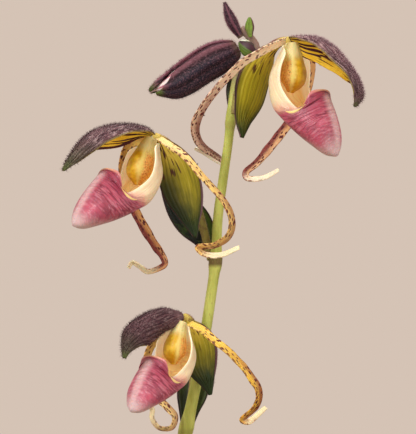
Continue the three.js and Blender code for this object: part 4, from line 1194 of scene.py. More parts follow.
class MakeLeaves(bpy.types.Operator):
    """Grow the fan of strap leaves"""

    bl_idname = "orchid.make_leaves"
    bl_label = "Strap leaves"

    BENDS = 16

    def execute(self, context):
        settings = context.scene.orchid_leaves
        material = leaf_green(picked(settings.green))
        for i, leaf in enumerate(LEAVES):
            mesh = self.strap_leaf(leaf, i, settings.groove / MM).mesh(f"strap_leaf_{i + 1}")
            make_piece(mesh.name, mesh, material, "leaf", f"leaf_{i + 1}")
        return {"FINISHED"}

    def strap_leaf(self, leaf, seed, groove):
        """A leaf folded round the crown at its foot, then opening and arching over."""
        heading = (leaf["turn"] if leaf["side"] > 0 else 180 + leaf["turn"]) * DEG
        outward = np.array((math.cos(heading), math.sin(heading), 0))
        point = np.array((leaf["side"] * leaf["keel"], 0, MIX_LEVEL - CROWN_DEPTH + 1.3))
        foot_length = CROWN_DEPTH + 6
        course = [point + (0, 0, foot_length / 2 * k) for k in range(3)]
        for k in range(self.BENDS):
            angle = lerp(leaf["rise"], leaf["droop"], (k + 0.5) / self.BENDS) * DEG
            way = outward * math.cos(angle) + (0, 0, math.sin(angle))
            course.append(course[-1] + way * leaf["length"] / self.BENDS)
        foot_share = foot_length / (foot_length + leaf["length"])
        opening = eased([0, 0.42, 0.86, 1, 1, 0.98, 0.93, 0.8, 0.12])

        def beyond(t):
            return np.clip((t - foot_share) / (1 - foot_share), 0, 1)

        def half_width(t):
            round_end = np.sqrt(np.clip((1 - beyond(t)) / 0.04, 0.03, 1))
            return lerp(leaf["base"], leaf["width"] / 2, opening(beyond(t))) * round_end

        def relief(t, u):
            middle = -groove * np.exp(-(u / 0.05) ** 2) * smooth_step(beyond(t), 0, 0.15)
            wave = waves(t * 380, seed + leaf["side"], 55) * np.abs(u) ** 3
            return middle + (wave * 1.3 + 0.12 * np.cos(u * 26)) * amid(beyond(t), 0, 0.3, 0.9)

        return blade(
            course, (-math.sin(heading), math.cos(heading), 0), half_width,
            bend=lambda t: -0.16 * smooth_step(beyond(t), 0, 0.3),
            fold=lambda t: 60 * DEG * (1 - beyond(t)) ** 5 + 11 * DEG,
            thickness=LEAF_THICKNESS, steps=84, across=32, crowd=0.5, relief=relief, inner_face=1,
            edge_power=14)


def stem_skin():
    """Pale yellow-green skin, mottled, browner at the nodes and mauve below the buds."""
    finish = Finish("Flowering stem")
    place = finish.place()
    height = finish.parts(place)[2]
    cloud = finish.noise(finish.stretch(place, (1, 1, 0.3)), 260, 4)
    freckles = finish.cells(finish.stretch(place, (1, 1, 0.5)), 620)
    fibre = finish.noise(finish.stretch(place, (1, 1, 0.08)), 2200, 2)
    rings = [(abs(height - level).rise(0.003, 0.001) * cloud.rise(0.15, 0.5) * strength, (92, 66, 34))
             for level, strength in STEM_RINGS]
    colour = finish.layers(
        (160, 166, 66),
        (cloud.rise(0.3, 0.7), (196, 202, 104)),
        (height.rise(0.36, 0.12) * 0.45, (132, 148, 70)),
        (height.rise(0.525, 0.545) * 0.9, (142, 108, 112)),
        *rings,
        (freckles.rise(0.2, 0.1) * 0.4, (146, 108, 72)),
        (fibre.rise(0.5, 0.7) * 0.3, (136, 142, 58)),
    )
    relief = fibre * 0.5 + cloud * 0.4
    return finish.surface(colour, cloud * 0.2 + 0.5, (relief, 0.0002), gloss=0.35, flesh=(0.12, 0.002))


class FlowerSettings(bpy.types.PropertyGroup):
    """The look of the flowers and buds."""

    hair_length: length_property("Hood hair length", "Length of the hairs on a hood", 0.00125, 0.0002, 0.002)
    hair_density: FloatProperty(
        name="Hood hair density", description="Hairs to the square millimetre of a hood", default=4.5,
        min=0.2, max=8)
    pink: colour_property("Pouch pink", "Colour of the front of a pouch", (0.66, 0.285, 0.37))
    cream: colour_property("Pouch cream", "Colour of the heel of a pouch", (0.92, 0.84, 0.69))
    spot: colour_property("Petal spots", "Colour of the spots on a petal", (0.36, 0.11, 0.12))
    seed: IntProperty(name="Seed", description="Seed of the hairs and spots", default=5, min=0)


class MakeStem(bpy.types.Operator):
    """Grow the flowering stem with its nodes and fine hairs"""

    bl_idname = "orchid.make_stem"
    bl_label = "Flowering stem"

    def execute(self, context):
        places = np.linspace(0, 1, 400)
        heights = Course(STEM_COURSE).at(places)[:, 2]

        def radius(t, angle):
            height = np.interp(t, places, heights)
            swell = 1 + sum((size - 1) * np.exp(-((height - level) / 4) ** 2) for level, size in STEM_NODES)
            ring = sum(0.16 * np.exp(-((height - level + 2.5) / 0.8) ** 2) for level, _ in STEM_NODES)
            ridges = 1 + 0.018 * np.cos(5 * angle + height * 0.02)
            return (swell * lerp(STEM_FOOT_RADIUS, STEM_TOP_RADIUS, t ** 1.6) + ring) * ridges

        def hair(along, turn):
            return smooth_step(along, 0.5, 0.62) * 0.6 + smooth_step(along, 0.86, 0.95) * 0.4

        form = stalk(STEM_COURSE, radius, steps=360, sides=28, hair=hair)
        down = hair_finish("Stem hairs", (176, 150, 104), (206, 170, 158))
        make_hairy_piece("stem_skin", form, stem_skin(), "stem", "flower_stem", "stem_hairs", down,
                         density=5, length=0.5, thickness=0.05, lean=0.35, seed=3)
        return {"FINISHED"}


def ovary_skin():
    """Green to mauve ribbed skin, cream where it meets the flower."""
    finish = Finish("Ovary")
    along = finish.mark("along")
    cloud = finish.noise(finish.place(), 420, 3)
    colour = finish.layers(
        (150, 142, 70),
        (along.rise(0.2, 0.75), (136, 98, 84)),
        (cloud.rise(0.42, 0.68) * 0.55, (104, 66, 62)),
        (along.rise(0.86, 0.95), (214, 190, 96)),
    )
    return finish.surface(colour, cloud * 0.2 + 0.5, (cloud, 0.0002), gloss=0.3, flesh=(0.1, 0.0015))


class MakeOvaries(bpy.types.Operator):
    """Grow the ribbed, hairy ovary behind each flower"""

    bl_idname = "orchid.make_ovaries"
    bl_label = "Ovaries"

    def execute(self, context):
        swell = eased([0.8, 0.85, 0.95, 1, 0.95, 0.95])
        skin = ovary_skin()
        down = hair_finish("Ovary hairs", (140, 96, 84), (214, 178, 166))
        for i, (name, flower) in enumerate(FLOWERS.items()):
            form = stalk(
                from_joint(flower, "ovary"),
                lambda t, angle: OVARY_RADIUS * swell(t) * (1 + 0.07 * np.cos(6 * angle + 2.5 * t)),
                steps=110, sides=36, hair=everywhere)
            make_hairy_piece(f"{name}_ovary_skin", form, skin, "stem", f"{name}_flower_ovary",
                             f"{name}_ovary_hairs", down, density=5, length=0.6, thickness=0.05, seed=20 + i)
        return {"FINISHED"}


def column_skin():
    """A bright mustard shield with a pale soft band beside it, a grainy orange side and a cream neck."""
    finish = Finish("Column")
    place = finish.place()
    along, turn = finish.marks("along", "turn")
    turn = turn * 180
    cloud = finish.noise(place, 380, 3)
    grain = finish.cells(place, 1500)
    soft = turn + (cloud - 0.5) * 40
    orange = finish.layers((176, 100, 36), (grain.rise(0.15, 0.5), (232, 178, 92)))
    colour = finish.layers(
        (190, 142, 14),
        (cloud.rise(0.3, 0.7), (228, 188, 44)),
        (soft.rise(36, 56), (226, 204, 112)),
        (soft.rise(62, 78) * along.rise(0.3, 0.45), orange),
        (soft.rise(120, 140), (226, 202, 130)),
        (along.rise(0.42, 0.2), (226, 214, 150)),
    )
    relief = cloud * 0.4 + grain * turn.rise(58, 70)
    return finish.surface(colour, cloud * 0.2 + 0.38, (relief, 0.00025), gloss=0.4, flesh=(0.25, 0.002))


class MakeColumns(bpy.types.Operator):
    """Model the column and shield in each flower, with its grainy sides"""

    bl_idname = "orchid.make_columns"
    bl_label = "Columns"

    def execute(self, context):
        width = eased(COLUMN_RADIUS)
        skin = column_skin()
        grains = hair_finish("Column grains", (198, 118, 66), (238, 196, 142))

        def hair(along, turn):
            return smooth_step(turn, 0.35, 0.42) * smooth_step(along, 0.3, 0.42)

        for i, (name, flower) in enumerate(FLOWERS.items()):
            place = stance_place(flower["at"], flower["stance"])
            scale = flower["stance"][2]

            def radius(t, angle):
                notch = 0.05 * np.exp(-((np.abs(angle - math.pi) - math.pi) / 0.25) ** 2)
                return width(t) * scale * (1 - notch)

            front = place((1, 0, 0)) - place((0, 0, 0))
            form = stalk(place(COLUMN_COURSE), radius, steps=64, sides=56, front=front, hair=hair)
            make_hairy_piece(f"{name}_column_skin", form, skin, "column", f"{name}_flower_column",
                             f"{name}_column_grains", grains, density=9, length=0.42, thickness=0.2,
                             lean=0.25, seed=40 + i)
        return {"FINISHED"}


def pouch_skin(pink, cream):
    """A pink pouch with dark veins, a cream heel, a whitish toe and a pale keel that partly carries a painted
    highlight, lit inside by a painted glow.
    """
    finish = Finish("Pouch")
    local = finish.vector_mark("local")
    forward, across, up = finish.parts(local)
    rise, side, inside = finish.marks("rise", "side", "inside")
    cloud = finish.noise(local, 0.2, 4)
    grain = finish.noise(local, 2.6, 3)
    fine = finish.streaks((0.18, 1.3, 0.18), 2, "strand")
    specks = finish.cells(local, 1.5, 1)
    beyond = (forward * 0.467 - up * 0.884 - 26.2).maths("MAXIMUM", (forward - 16.5) * 1.2)
    split = beyond + (cloud - 0.5) * 5
    thread = abs(finish.streaks((0.07, 0.6, 0.07), 1, "strand") - 0.5).rise(0.06, 0.01)
    veins = thread * rise.rise(0.2, 0.45)
    pale_rim = split.rise(2, -2)
    # The pale keel is partly the pouch's own pale colour and partly a painted highlight along its upper edge
    keel = abs(across).rise(4.2, 0.6) * side.rise(0.8, 0.95) * rise.rise(0.98, 0.62)
    toe = (rise + (cloud - 0.5) * 0.2).rise(0.26, 0.02)
    front = finish.layers(
        toned(pink, 0.88),
        (cloud.rise(0.3, 0.7), toned(pink, 1.1)),
        (fine.rise(0.46, 0.68) * 0.45, (206, 138, 152)),
        (rise.rise(0.34, 0.76) * side.rise(0.42, 0.72) * 0.6, (138, 32, 62)),
        (veins * 0.75, (112, 22, 50)),
    )
    lining = finish.layers(
        (244, 214, 140),
        (veins * 0.3, (190, 110, 60)),
        (split.rise(0, 4) * 0.5, (214, 140, 96)),
        (rise.rise(0.86, 0.93) * (pale_rim * 0.7 + 0.3), (250, 236, 200)),
    )
    edge = finish.layers((214, 138, 136), (pale_rim, (250, 238, 204)),
                         (side.rise(0.84, 0.96), (238, 184, 150)))
    colour = finish.layers(
        cream,
        (cloud.rise(0.35, 0.65), (242, 224, 186)),
        (veins * 0.25, (222, 178, 120)),
        (split.rise(-3.4, 0.4) * 0.8, (232, 176, 150)),
        (split.rise(-1.2, 3), front),
        (keel * (0.2 + fine * 0.8), (228, 196, 198)),
        (toe * 0.8, (212, 186, 186)),
        (up.rise(-30, -34.5) * side.rise(0.75, 0.25) * 0.55, (214, 188, 180)),
        (specks.rise(0.14, 0.06) * 0.3, (136, 62, 76)),
        (inside, lining),
        (rise.rise(0.955, 0.985) * 0.85, edge),
    )
    # Painted glow: the inside and the pale rim give off light of their own, standing in for light through the
    # thin walls
    painted_glow = finish.layers((0, 0, 0), (inside * 0.8 + pale_rim * 0.2, colour))
    relief = grain * 0.4 + fine * 0.5 + thread * 0.3
    return finish.surface(colour, grain * 0.2 + 0.34, (relief, 0.0002), gloss=0.4, flesh=(0.2, 0.003),
                          emission_color=painted_glow, emission_strength=0.16, coat_weight=0.06)


def pouch_guides(turns, t):
    """The pouch's outside in the flower's own frame, from its toe to its rim and round from its back."""
    arc = np.sin(np.linspace(0, math.pi, 7))
    share = (1 - np.cos(np.linspace(0, math.pi, 7))) / 2
    halves = []
    for back, front, half, sag in POUCH_TOE_RINGS:
        x, z = (lerp(start, end, share) for start, end in zip(back, front))
        halves.append(np.stack([x, half * arc, z - sag * arc ** 2], axis=1))
    halves += [np.array(POUCH_THROAT, float), np.array(POUCH_RIM, float)]
    rings = np.array([np.concatenate([half, half[-2:0:-1] * (1, -1, 1)]) for half in halves])
    guide = np.stack([Course(meridian).at_parameter(t) for meridian in rings.swapaxes(0, 1)], axis=1)
    return np.array([Course(row, closed=True).at_parameter(turns) for row in guide])


def pouch_form(flower):
    """The slipper: rings from the toe to the rim, over the rim and back to the toe inside."""
    rows, columns = 60, 80
    t = (np.arange(rows) / (rows - 1)) ** 0.9
    turns = np.arange(columns) / columns
    front = 1 - np.abs(2 * turns - 1)
    local = pouch_guides(turns, t)
    outer = stance_place(flower["at"], flower["stance"])(local)
    normals = grid_normals(outer, wrap=True)
    for _ in range(14):
        above, below = normals[np.r_[1:rows, rows - 1]], normals[np.r_[0, 0:rows - 1]]
        normals = unit(2 * normals + np.roll(normals, 1, axis=1) + np.roll(normals, -1, axis=1)
                       + above + below)
    roll = (0.15 + 0.55 * smooth_step(front, 0.86, 1)) * smooth_step(t, 0.93, 1)[:, None]
    outer = outer + normals * roll[..., None]
    notch = np.exp(-((front - 0.667) / 0.13) ** 2)
    thin = 0.4 * smooth_step(t, 0.8, 1)[:, None] + 0.4 * notch * smooth_step(t, 0.55, 0.85)[:, None]
    wall = (POUCH_WALL * (1 - thin))[..., None]
    upward = unit(outer[-1] - outer[-3])
    half = wall[-1] / 2
    lip = [outer[-1] + (normals[-1] * (math.cos(a) - 1) + upward * math.sin(a) * 0.9) * half
           for a in np.linspace(0, math.pi, 7)[1:-1]]
    rings = np.concatenate([outer, lip, (outer - normals * wall)[::-1]])
    count = len(lip)
    rise = np.concatenate([t, np.ones(count), t[::-1]])[:, None]
    inside = np.concatenate([np.zeros(rows), np.linspace(0, 1, count), np.ones(rows)])[:, None]
    strand = np.stack(np.broadcast_arrays(14 * np.cos(2 * math.pi * turns), rise * 45,
                                          14 * np.sin(2 * math.pi * turns)), axis=2)
    places = np.concatenate([local, np.repeat(local[-1:], count, axis=0), local[::-1]])
    return Form(rings, rise=rise, inside=inside, side=front, local=places, strand=strand)


class MakePouches(bpy.types.Operator):
    """Shape the slipper of each flower"""

    bl_idname = "orchid.make_pouches"
    bl_label = "Pouches"

    def execute(self, context):
        settings = context.scene.orchid_flowers
        skin = pouch_skin(picked(settings.pink), picked(settings.cream))
        for name, flower in FLOWERS.items():
            mesh = pouch_form(flower).mesh(f"{name}_slipper")
            make_piece(mesh.name, mesh, skin, "pouch", f"{name}_flower_pouch")
        return {"FINISHED"}


# How dark the outside of each hood is, and how green it turns towards its tip
HOODS = {"upper": (0, 0.1), "middle": (0.1, 0.5), "lower": (0.75, 0.3)}


def hood_skin(name, dark, green):
    """A dark mauve outside with a painted silvery sheen in streaks, and a bright yellow inside with dark
    streaks and a painted glow.
    """
    finish = Finish(name)
    along, across, inside = finish.marks("along", "across", "inside")
    streak = finish.streaks((1, 0.09, 0.4), 3)
    # Streaks that carry a painted silvery sheen on the outside, and also vary the gold inside and the bumps
    sheen_streaks = finish.streaks((2, 0.25, 0.5), 2)
    cloud = finish.streaks((0.16, 0.1, 0.3), 3)
    dashes = finish.streaks((0.75, 0.05, 0.6), 1, distortion=0.3)
    gold = finish.layers(
        (214, 168, 20),
        (cloud.rise(0.3, 0.7), (240, 206, 66)),
        (along.rise(0.45, 0.95) * 0.6, (162, 156, 44)),
        (sheen_streaks.rise(0.45, 0.7) * 0.3, (190, 134, 24)),
        ((dashes - (along * 0.14 + 0.465)).rise(0, 0.03), (66, 20, 26)),
    )
    colour = finish.layers(
        (66, 38, 46),
        (streak.rise(0.36, 0.62), (124, 86, 92)),
        # Painted sheen: silvery highlights over the outside, fainter on the darker hoods
        (sheen_streaks.rise(0.47, 0.62) * (0.85 - 0.5 * dark), (186, 158, 158)),
        (along.rise(0.4, 0.95) * 0.5 + dark * 0.45, (58, 32, 40)),
        (along.rise(0.62, 0.97) * green, (74, 92, 36)),
        (abs(across).rise(0.88, 0.99) * 0.6, (140, 132, 52)),
        (along.rise(0.9, 0.99) * 0.55, (88, 108, 42)),
        (inside, gold),
    )
    # Painted glow: the gold inside gives off light of its own, standing in for light through the thin sepal
    painted_glow = finish.layers((0, 0, 0), (inside, gold))
    relief = streak * 0.7 + sheen_streaks * 0.4
    return finish.surface(colour, streak * 0.2 + 0.5, (relief, 0.00035), gloss=0.3, flesh=(0.05, 0.0015),
                          emission_color=painted_glow, emission_strength=0.15)


class MakeHoods(bpy.types.Operator):
    """Shape the hairy hood over each flower"""

    bl_idname = "orchid.make_hoods"
    bl_label = "Hoods"

    def execute(self, context):
        settings = context.scene.orchid_flowers
        dark_hairs = hair_finish("Dark hood hairs", (44, 24, 30), (96, 62, 72))
        mauve_hairs = hair_finish("Mauve hood hairs", (92, 58, 70), (176, 134, 146))
        for i, (name, flower) in enumerate(FLOWERS.items()):
            hood = flower["hood"]
            faces, _, scale, _ = hood["stance"]
            flat = np.array((-math.sin(faces * DEG), math.cos(faces * DEG), 0))
            lean, bend = eased(hood["lean"]), eased(hood["bend"])

            def side(t, along):
                return flat * np.cos(lean(t)[:, None]) + np.array((0, 0, 1)) * np.sin(lean(t)[:, None])

            def relief(t, u):
                ribs = 0.14 * np.cos(u * 30) * amid(t, 0.02, 0.2, 0.85)
                midrib = -0.35 * np.exp(-(u / 0.07) ** 2) * amid(t, 0.04, 0.2, 0.8)
                wave = waves(t * 42, i - 2, 9) * np.abs(u) ** 4 * 0.5
                return ribs + midrib + wave * smooth_step(t, 0.1, 0.3)

            def hair(along, across, inside):
                return smooth_step(inside, 0.5, 0.2) * (0.35 + 0.65 * smooth_step(along, 0, 0.3))

            form = blade(
                stance_place(flower["at"], hood["stance"])(hood["midrib"]), side,
                blade_outline(HOOD_OUTLINE, hood["half_width"] * scale, hood["foot"], 0.9),
                bend=lambda t: -bend(t), fold=-hood["fold"], thickness=SEPAL_THICKNESS, steps=80, across=44,
                relief=relief, hair=hair)
            skin = hood_skin(f"Hood of the {name} flower", *HOODS[name])
            down = mauve_hairs if name == "upper" else dark_hairs
            make_hairy_piece(f"{name}_hood", form, skin, "hood", f"{name}_flower_dorsal_sepal",
                             f"{name}_hood_hairs", down, density=settings.hair_density, thickness=0.13,
                             length=settings.hair_length / MM, segments=2, seed=settings.seed + i)
        return {"FINISHED"}


# Each petal's colours at its base, along its middle and at its tip, and how strong the flush on its inner
# edge is, below 0 where that is its other edge
PETALS = {
    ("upper", "left"): (0.8, (238, 214, 176), (230, 200, 170), (218, 178, 156), (244, 232, 206)),
    ("upper", "right"): (-1, (206, 150, 82), (214, 162, 104), (216, 170, 126), (244, 230, 200)),
    ("middle", "left"): (-1, (222, 182, 86), (210, 158, 78), (202, 142, 88), (242, 228, 188)),
    ("middle", "right"): (0.6, (238, 208, 132), (234, 198, 112), (226, 186, 104), (242, 228, 188)),
    ("lower", "left"): (0.5, (226, 190, 96), (228, 190, 104), (232, 200, 130), (240, 224, 180)),
    ("lower", "right"): (0.8, (236, 200, 80), (232, 190, 62), (222, 168, 48), (240, 222, 176)),
}


def petal_skin(name, spot, flush, base, middle, beyond, tip):
    """A petal's ground colours, with dark dashes, a dark broken edge, a maroon flush along one edge and cream
    streaks that are partly painted highlight.
    """
    finish = Finish(name)
    along, across = finish.marks("along", "across")
    cloud = finish.streaks((0.4, 0.16, 0.2), 3)
    fibre = finish.streaks((2.6, 0.12, 1), 2)
    broken = finish.streaks((0, 0.5, 0), 1)
    spots = finish.cells(finish.stretch(finish.vector_mark("flat"), (0.8, 0.42, 0.1)), randomness=0.85)
    edge = across * (1 if flush > 0 else -1) + (cloud - 0.5)
    blush = edge.rise(-0.5, 0.5) * along.rise(0.2, 0.5) * along.rise(0.94, 0.84)
    spotted = (spots + (cloud - 0.5) * 0.25).rise(0.36, 0.28) * along.rise(0.04, 0.16)
    margin = abs(across).rise(0.78, 0.92) * broken.rise(0.46, 0.56) * along.rise(0.96, 0.86)
    colour = finish.layers(
        base,
        (along.rise(0.05, 0.35), middle),
        (along.rise(0.35, 0.7), beyond),
        (cloud.rise(0.45, 0.75) * 0.3, (178, 104, 60)),
        # The cream streaks are partly the petal's own pale streaks and partly painted highlight on its ridges
        (fibre.rise(0.5, 0.68) * 0.35, (248, 230, 188)),
        (blush * abs(flush) * 0.9, (122, 36, 46)),
        ((along + (cloud - 0.5) * 0.1).rise(0.8, 0.88), tip),
        (spotted * along.rise(0.9, 0.78), spot),
        (margin * 0.8, (110, 48, 34)),
    )
    relief = fibre * 0.5 + spots.rise(0.4, 0.1) * 0.4 + cloud * 0.3
    return finish.surface(colour, fibre * 0.2 + 0.4, (relief, 0.00025), gloss=0.35, flesh=(0.15, 0.0015))


class MakePetals(bpy.types.Operator):
    """Curl the two ribbon petals of each flower"""

    bl_idname = "orchid.make_petals"
    bl_label = "Ribbon petals"

    def execute(self, context):
        settings = context.scene.orchid_flowers
        warts = hair_finish("Petal warts", (46, 20, 26), (90, 50, 54))
        width = eased([0.8, 1, 1.02, 1, 0.98, 0.93, 0.86, 0.76, 0.68, 0.66, 0.48])
        depth = np.array((0, 1, 0))
        for i, ((name, hand), look) in enumerate(PETALS.items()):
            flower = FLOWERS[name]
            tilt = eased(flower[f"petal_{hand}_tilt"])

            def side(t, along):
                angle = tilt(t)[:, None] * DEG
                return depth * np.cos(angle) + unit(np.cross(along, depth)) * np.sin(angle)

            def relief(t, u):
                return waves(t * 120, i - 0.5, 7) * np.abs(u) ** 3 * 0.5 * smooth_step(t, 0.05, 0.2)

            form = blade(
                from_joint(flower, f"petal_{hand}"), side, lambda t: PETAL_HALF_WIDTH * width(t), bend=0.5,
                thickness=PETAL_THICKNESS, steps=200, across=18, relief=relief, inner_face=1, edge_power=5)
            form.marks["wart"] = (smooth_step(np.abs(form.marks["across"]), 0.75, 0.95)
                                  * amid(form.marks["along"], 0.02, 0.06, 0.2, 0.5))
            mesh = form.mesh(f"{name}_ribbon_{hand}")
            warted = grown_mesh(f"{name}_warts_{hand}", mesh.copy(), grow_warts, "Warts on a margin", {
                "Density": 1.5e5, "Spacing": 0.0026, "Radius": 0.00032, "Hair Length": 0.0009,
                "Seed": settings.seed + 60 + i, "Material": warts,
            })
            make_piece(warted.name, warted, warts, "petal")
            skin = petal_skin(f"Petal {name} {hand}", picked(settings.spot), *look)
            make_piece(mesh.name, mesh, skin, "petal", f"{name}_flower_petal_{hand}")
        return {"FINISHED"}


# The margin that each lower sepal rolls in, -1 for its left one, and how far; how dark the sepal is, a
# darkness that is partly painted shade, and how deep the painted shadow over its flat side
SYNSEPALS = {"upper": (-1, 2.6, -0.3, 0), "middle": (1, 2.4, 0.1, 0.85), "lower": (1, 2.4, 0.6, 0.3)}


def synsepal_skin(name, rolled, dark, shadow):
    """Olive inside, dark green at its tip and edges, partly its own green and partly painted shade, with a
    painted shadow over its flat side, fine veins, dashes at its base and purple margins.
    """
    finish = Finish(name)
    along, across, inside = finish.marks("along", "across", "inside")
    veins = finish.streaks((1.3, 0.05, 0.3), 3)
    cloud = finish.streaks((0.2, 0.12, 0.2), 4)
    dashes = finish.streaks((0.8, 0.11, 0.5), 1)
    soft = along + (cloud - 0.5) * 0.35
    side = abs(across + (cloud - 0.5) * 0.3)
    flat_side = across * -rolled + (cloud - 0.5) * 0.4
    margin = (across * rolled + (veins - 0.5) * 0.2).rise(0.78, 0.88) * along.rise(0.08, 0.3)
    green = finish.layers(
        (206, 180, 64),
        (soft.rise(0.05, 0.5), (166, 154, 28)),
        # The dark green tip is partly the sepal's own green and partly painted shade, reaching further on
        # darker sepals
        (soft.rise(0.45 - 0.3 * dark, 0.95 - 0.2 * dark), (34, 52, 10)),
        (veins.rise(0.52, 0.64) * 0.45, (72, 76, 10)),
        (veins.rise(0.44, 0.34) * soft.rise(0.8, 0.3) * 0.5, (206, 190, 84)),
        # Painted shade: darker towards both edges, over the sepal's own green
        (side.rise(0.5, 0.95) * (0.35 + along * 0.6), (32, 44, 12)),
        # Painted shadow over the flat side
        (flat_side.rise(-0.15, 0.6) * along.rise(0.1, 0.5) * shadow, (24, 38, 14)),
        (abs(across).rise(0.9, 0.985), (58, 24, 34)),
        (margin * 0.75, (122, 88, 98)),
        ((dashes - along * 0.35).rise(0.5, 0.55) * along.rise(0.55, 0.3), (70, 30, 22)),
    )
    colour = finish.layers(
        (50, 30, 36),
        (veins.rise(0.42, 0.62), (108, 78, 70)),
        (cloud.rise(0.5, 0.7) * 0.4, (74, 72, 34)),
        (inside, green),
    )
    relief = veins * 0.7 + cloud * 0.3
    return finish.surface(colour, veins * 0.2 + 0.4, (relief, 0.0003), gloss=0.22, flesh=(0.06, 0.0015))


class MakeSynsepals(bpy.types.Operator):
    """Shape the lower sepal of each flower, with its rolled margin"""

    bl_idname = "orchid.make_synsepals"
    bl_label = "Lower sepals"

    def execute(self, context):
        settings = context.scene.orchid_flowers
        down = hair_finish("Synsepal hairs", (66, 40, 46), (124, 92, 96))
        for i, (name, flower) in enumerate(FLOWERS.items()):
            rolled, reach, dark, shadow = SYNSEPALS[name]

            def roll(t):
                turn = reach * amid(t, 0.2, 0.5, 0.8)
                return (turn, 0 * t, 0.8) if rolled < 0 else (0 * t, turn, 0.8)

            def relief(t, u):
                ribs = 0.12 * np.cos(u * 34) * amid(t, 0.02, 0.2, 0.85)
                return ribs + waves(t * 40, i + 31, 9) * np.abs(u) ** 3 * 0.4

            form = blade(
                from_joint(flower, "synsepal"), flower["synsepal_side"],
                blade_outline(SYNSEPAL_OUTLINE, flower["synsepal_half_width"], 1.8, 0.8),
                bend=lambda t: -0.75 + 0.25 * t, roll=roll, thickness=SEPAL_THICKNESS, steps=80, across=52,
                relief=relief, inner_face=1, hair=hair_outside(0.5, 0.2))
            skin = synsepal_skin(f"Synsepal of the {name} flower", rolled, dark, shadow)
            make_hairy_piece(f"{name}_lower_sepal", form, skin, "sepal", f"{name}_flower_synsepal",
                             f"{name}_lower_sepal_hairs", down, density=2.4, length=0.8, thickness=0.09,
                             segments=2, seed=settings.seed + 80 + i)
        return {"FINISHED"}


# The colours of each bract on its left, on its right and at its margins, and where across it they meet; the
# darker half is partly painted shade
BRACTS = {
    "upper": ((38, 48, 18), (84, 104, 32), (62, 28, 42), 0.1),
    "middle": ((22, 32, 24), (76, 104, 28), (60, 22, 40), 0),
    "lower": ((34, 42, 14), (58, 72, 18), (48, 22, 34), 0),
    "bud": ((96, 124, 38), (62, 24, 38), (52, 20, 32), 0),
    "small": ((120, 152, 44), (84, 40, 48), (60, 26, 38), 0.5),
}


def bract_skin(name, left, right, margin, turn):
    """Green bract skin that darkens to one side, partly its own colour and partly painted shade, with
    lengthwise veins.
    """
    finish = Finish(name)
    across = finish.mark("across")
    veins = finish.streaks((1.3, 0.06, 0.3), 3)
    cloud = finish.streaks((0.3, 0.2, 0.3), 3)
    colour = finish.layers(
        left,
        # The darker half is partly the bract's own dark outside and partly painted shade on the side turned
        # from the light
        ((across + (cloud - 0.5) * 0.5).rise(turn - 0.15, turn + 0.15), right),
        (veins.rise(0.5, 0.65) * 0.4, toned(left, 0.55)),
        (cloud.rise(0.5, 0.7) * 0.3, toned(right, 1.35)),
        (abs(across).rise(0.85, 0.99) * 0.8, margin),
    )
    return finish.surface(colour, cloud * 0.2 + 0.4, (veins, 0.0003), gloss=0.4, flesh=(0.08, 0.001))


def bract_form(course, side, half_width, bend, seed):
    """A bract: a small leaf that clasps the stem."""
    rib = 0.14 if half_width > 4 else 0.06

    def relief(t, u):
        ribs = rib * np.cos(u * 22) * amid(t, 0.02, 0.2, 0.8)
        return ribs + waves(t * 30, seed, 8) * np.abs(u) ** 3 * rib * 2

    def hair(along, across, inside):
        return smooth_step(np.abs(across), 0.86, 0.98) + smooth_step(inside, 0.4, 0.1) * 0.25

    return blade(course, side, blade_outline(BRACT_OUTLINE, half_width), bend, BRACT_THICKNESS, steps=56,
                 across=32, relief=relief, hair=hair)


class MakeBracts(bpy.types.Operator):
    """Wrap the bracts round the stem's nodes"""

    bl_idname = "orchid.make_bracts"
    bl_label = "Bracts"

    def execute(self, context):
        down = hair_finish("Bract hairs", (84, 54, 62), (170, 132, 136))
        items = [(name, f"{name}_flower_bract", from_joint(flower, "bract"), flower["bract_side"],
                  flower["bract_half_width"], BRACT_BEND) for name, flower in FLOWERS.items()]
        items.append(("bud", "bud_bract", BUD_BRACT, (0.4, -0.1, 0.9), 3.4, 0.9))
        items.append(("small", "small_bud_bract", SMALL_BRACT, (1, 0.2, 0.1), 2, 0.5))
        for i, (name, node, *shape) in enumerate(items):
            skin = bract_skin(f"Bract {name}", *BRACTS[name])
            make_hairy_piece(f"{name}_bract_leaf", bract_form(*shape, i + 51), skin, "bract", node,
                             f"{name}_bract_hairs", down, density=4, length=0.5, thickness=0.06,
                             seed=100 + i)
        return {"FINISHED"}


def bud_skin(name, light, dark, tip, low=None):
    """Dark bud skin with paler ridges, another tip and, where it is given, a painted shade low down on its
    belly.
    """
    finish = Finish(name)
    along, ridge = finish.marks("along", "ridge")
    cloud = finish.noise(finish.place(), 300, 4)
    down = finish.noise(finish.place(), 1500, 2)
    colour = finish.layers(dark, ((ridge + (cloud - 0.5) * 1.2).rise(-0.3, 0.9), light))
    if low is not None:
        # Painted shade: the belly low down on the bud is darkened, with its ridges a little lighter
        shaded_belly = (finish.mark("across") + (cloud - 0.5) * 0.5 + along * 0.25).rise(-0.72, -0.38)
        low = finish.layers(low, (ridge.rise(0, 0.9) * 0.6, toned(low, 1.5)))
        colour = finish.layers(colour, (shaded_belly, low))
    colour = finish.layers(
        colour,
        (down.rise(0.5, 0.68) * 0.4, (150, 108, 120)),
        (along.rise(0.88, 0.98), tip),
        (along.rise(0.1, 0.02) * 0.6, (116, 96, 74)),
    )
    relief = down * 0.5 + cloud * 0.5
    return finish.surface(colour, cloud * 0.2 + 0.5, (relief, 0.0003), gloss=0.3, flesh=(0.04, 0.0015))


